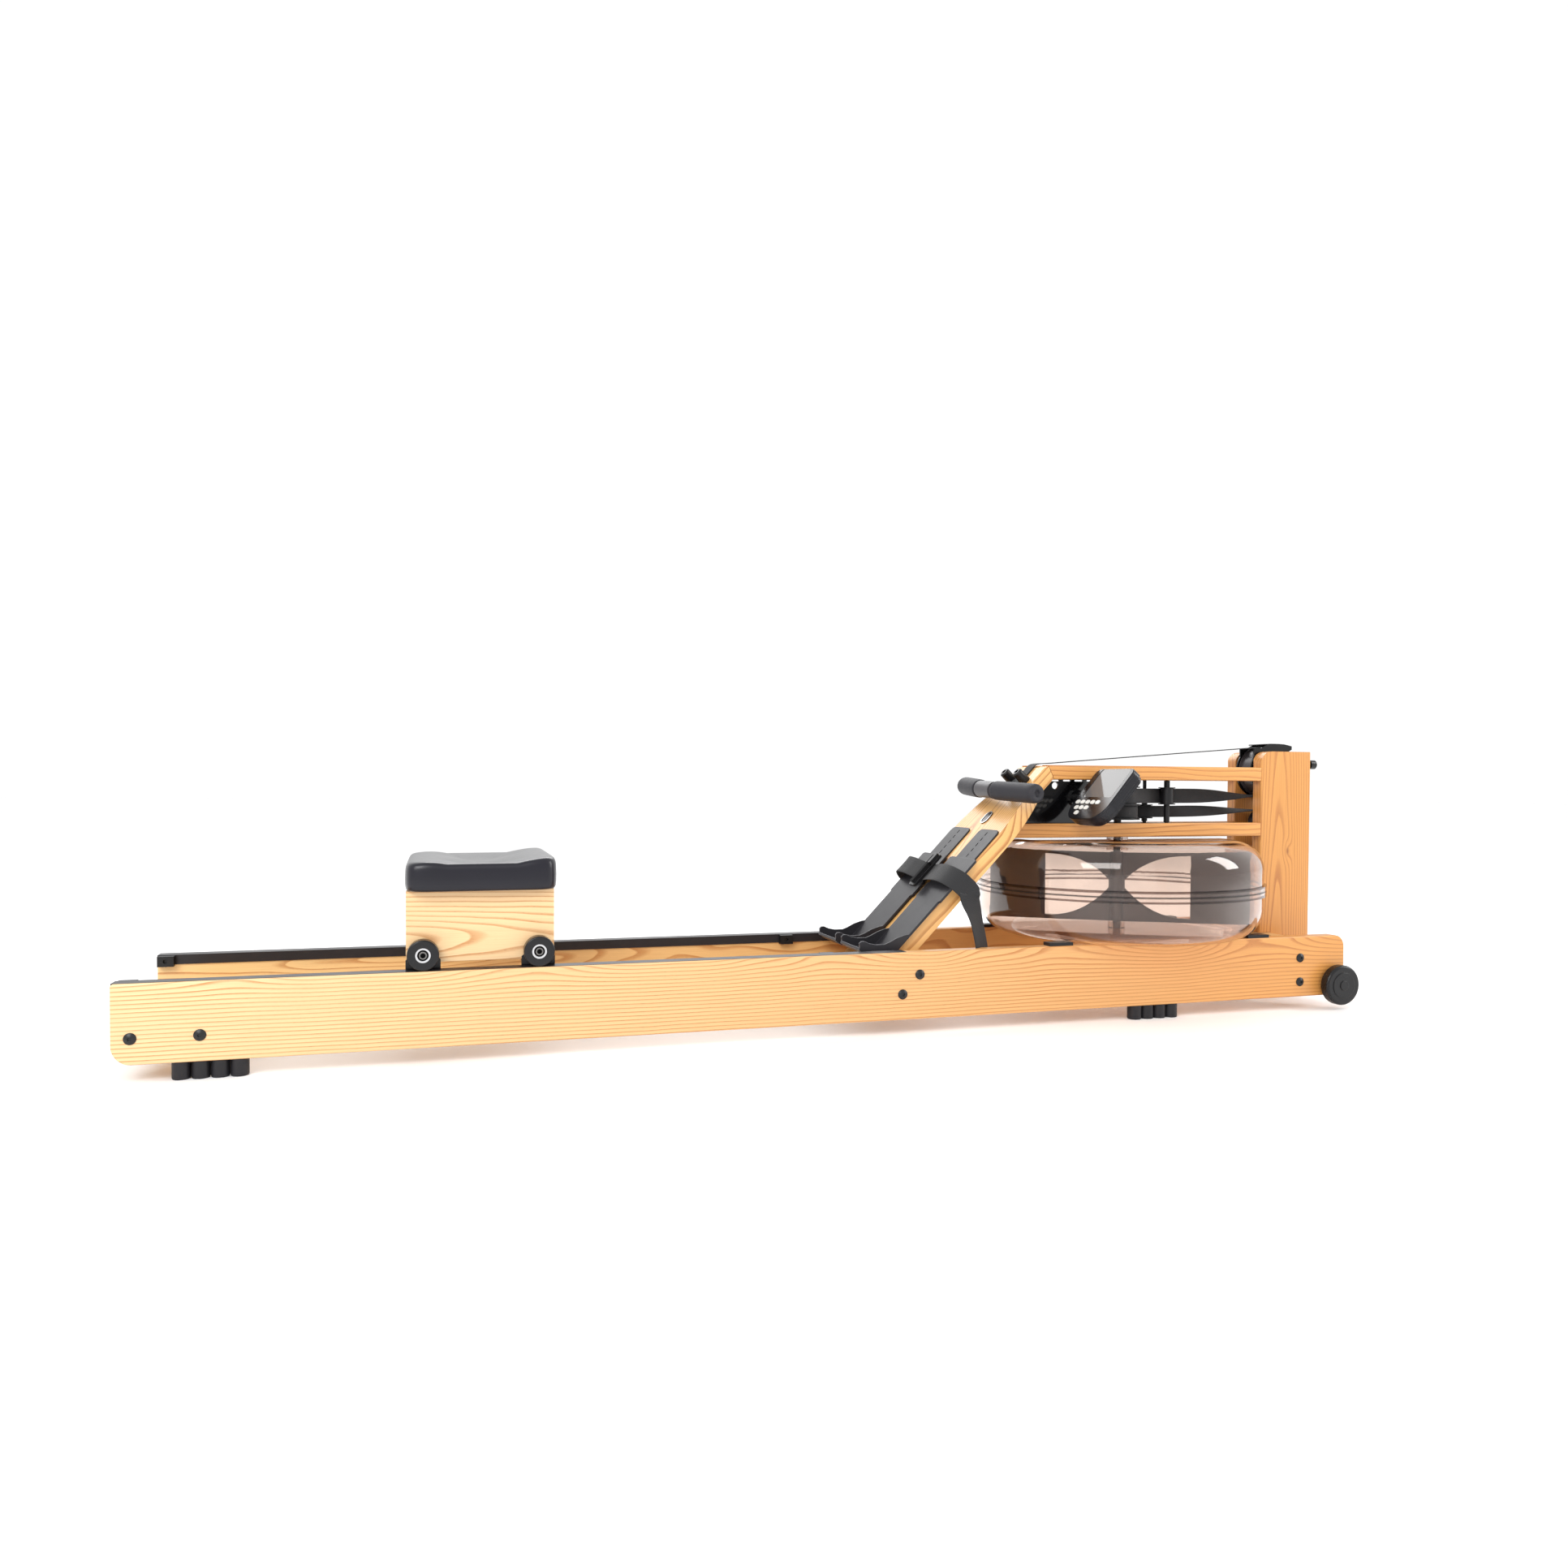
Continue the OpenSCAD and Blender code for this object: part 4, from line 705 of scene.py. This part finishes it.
foot_strap = ribbon("foot_strap_webbing", points, sides, width=0.038, thick=0.0019, material=strap, body="frame",
                    curl=0.0006)
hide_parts("foot_strap")

# drive and recoil straps: from the drum, past a roller and with a quarter twist on to a pulley
DRUM_R = 0.0363                           # radius of the strap on the drum
TOP_R, LOWER_R = 0.0486, 0.0261           # and on the two pulleys
DRIVE_Z, RECOIL_Z = 0.3995, 0.369         # heights of the two straps at the drum
TWIST_STEPS, ARC_STEPS = 34, 36


def drum_run(z, turns, route):
    """Level run: round the drum over the angles `turns`, then along the route of (x, y)."""
    angles = [math.radians(g) for g in turns]
    wrap = [(TANK_X + DRUM_R * math.cos(a), DRUM_R * math.sin(a), z) for a in angles]
    return smooth_path(wrap + [(REAR + x, y, z) for x, y in route], 0.006)


def twist_strap(name, node, level, centre_z, radius, sweep, width, after=()):
    """Upright along the level run, then a twist, then round the pulley over the sweep and along `after`."""
    path, side = list(level), [Vector(LZ)] * len(level)
    arc = []
    for k in range(ARC_STEPS + 1):
        a = math.radians(sweep[0] + (sweep[1] - sweep[0]) * k / ARC_STEPS)
        arc.append(Vector((PULLEY_X + radius * math.cos(a), 0, centre_z + radius * math.sin(a))))
    for k in range(1, TWIST_STEPS):
        f = k / TWIST_STEPS
        turn_by = math.pi / 2 * f * f * (3 - 2 * f)
        path.append(level[-1].lerp(arc[0], f))
        side.append(Vector((0, math.sin(turn_by), math.cos(turn_by))))
    path += [*arc, *after]
    side += [Vector(LY)] * (len(path) - len(side))
    o = ribbon(name, path, side, width, thick=0.0016, material=band, body="frame")
    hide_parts(node)


twist_strap("drive_strap", "drum_strap",
            drum_run(DRIVE_Z, range(-320, -59, 10),
                     [(1.735, -0.0165), (1.758, -0.0088), (1.771, -0.0062), (1.786, -0.0047), (1.800, -0.0040)]),
            PULLEY_Z, TOP_R, (-90, 90), 0.028)
twist_strap("recoil_band", "recoil_strap",
            drum_run(RECOIL_Z, range(320, 59, -10),
                     [(1.725, 0.0150), (1.749, 0.0062), (1.765, 0.0042), (1.790, 0.0032)]),
            LOWER_PULLEY_Z, LOWER_R, (90, 0), 0.022,
            smooth_path([(PULLEY_X + x, 0, z) for x, z in (
                (LOWER_R, 0.33), (LOWER_R, 0.25), (0.0255, 0.205), (0.012, 0.150), (-0.018, 0.1225),
                (-0.0266, 0.112), (-0.0284, 0.098))], 0.008))

# handle strap: from the handle over the nose of the foot board and on to the top pulley
path = smooth_path([
    Vector((REAR + 1.4152, 0, 0.4045)), Vector((REAR + 1.4166, 0, 0.4110)), Vector((REAR + 1.4220, 0, 0.4155)),
    board_point(0.381, 0, 0.0110), board_point(0.396, 0, 0.0062), board_point(0.412, 0, 0.0030),
    board_point(0.430, 0, 0.0024), board_point(0.4415, 0, 0.0022),
    Vector((REAR + 1.4985, 0, 0.4582)), Vector((REAR + 1.530, 0, 0.4602)), Vector((REAR + 1.60, 0, 0.4658)),
    Vector((REAR + 1.75, 0, 0.4776)), Vector((REAR + 1.90, 0, 0.4893)),
    Vector((PULLEY_X - 0.0002, 0, PULLEY_Z + 0.0487))], 0.0025)
handle_strap = ribbon("handle_strap_webbing", path, LY, width=0.028, thick=0.0015, material=band)
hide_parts("handle_strap")
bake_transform(handle_strap)

# ---------------------------------------------------------------- stage, light and camera

floor_mat = Tree("studio_floor")
faint = floor_mat.noise(floor_mat.coord(), 0.6, 2.0)
floor_mat.set("Base Color", floor_mat.mix(faint, (0.97, 0.97, 0.97, 1), (0.985, 0.985, 0.985, 1)))
floor_mat.set("Roughness", 0.55)
mesh = bpy.data.meshes.new("floor")
HALF = 30.0    # half the side of the floor
mesh.from_pydata([(-HALF, -HALF, 0), (HALF, -HALF, 0), (HALF, HALF, 0), (-HALF, HALF, 0)], [], [(0, 1, 2, 3)])
floor = bpy.data.objects.new("floor", mesh)
floor.data.materials.append(floor_mat.m)
bpy.context.scene.collection.objects.link(floor)

world = bpy.data.worlds.new("studio")
world.use_nodes = True
sky = world.node_tree.nodes["Background"]
sky.inputs["Color"].default_value = (1.0, 1.0, 1.0, 1.0)
sky.inputs["Strength"].default_value = 1.03
bpy.context.scene.world = world


def lamp(name, at, to, size, power):
    """A white area lamp at one point, turned to another."""
    data = bpy.data.lights.new(name, "AREA")
    data.shape, data.size, data.size_y, data.energy = "RECTANGLE", size[0], size[1], power
    o = bpy.data.objects.new(name, data)
    o.location = at
    o.rotation_euler = (Vector(to) - Vector(at)).to_track_quat("-Z", "Y").to_euler()
    bpy.context.scene.collection.objects.link(o)


lamp("key", (-2.2, -2.6, 2.4), (-0.4, 0, 0.2), (2.2, 1.6), 84)
lamp("back", (0.6, 3.0, 2.6), (0.2, 0, 0.2), (3.0, 1.4), 60)
lamp("right", (3.2, -1.2, 1.6), (0.8, 0, 0.3), (0.8, 1.8), 40)

# the camera that was fitted to the photo
camera = bpy.data.cameras.new("camera")
camera.sensor_width = 36    # in mm, and the lens too
camera.lens = 25.950559
camera.shift_y = 0.01566
camera.clip_start, camera.clip_end = 0.05, 100
cam = bpy.data.objects.new("camera", camera)
yaw, pitch, roll = math.radians(16.923), math.radians(-1.1923), math.radians(0.3403)
forward = Vector((math.sin(yaw) * math.cos(pitch), math.cos(yaw) * math.cos(pitch), math.sin(pitch)))
right = Vector((math.cos(yaw), -math.sin(yaw), 0))
up = right.cross(forward)
right, up = right * math.cos(roll) + up * math.sin(roll), up * math.cos(roll) - right * math.sin(roll)
cam.matrix_world = Matrix((
    (right.x, up.x, -forward.x, REAR + 0.43199),
    (right.y, up.y, -forward.y, -1.88851),
    (right.z, up.z, -forward.z, 0.41604),
    (0, 0, 0, 1),
))
bpy.context.scene.collection.objects.link(cam)
bpy.context.scene.camera = cam
bpy.context.scene.view_settings.view_transform = "Standard"

bpy.context.view_layer.update()
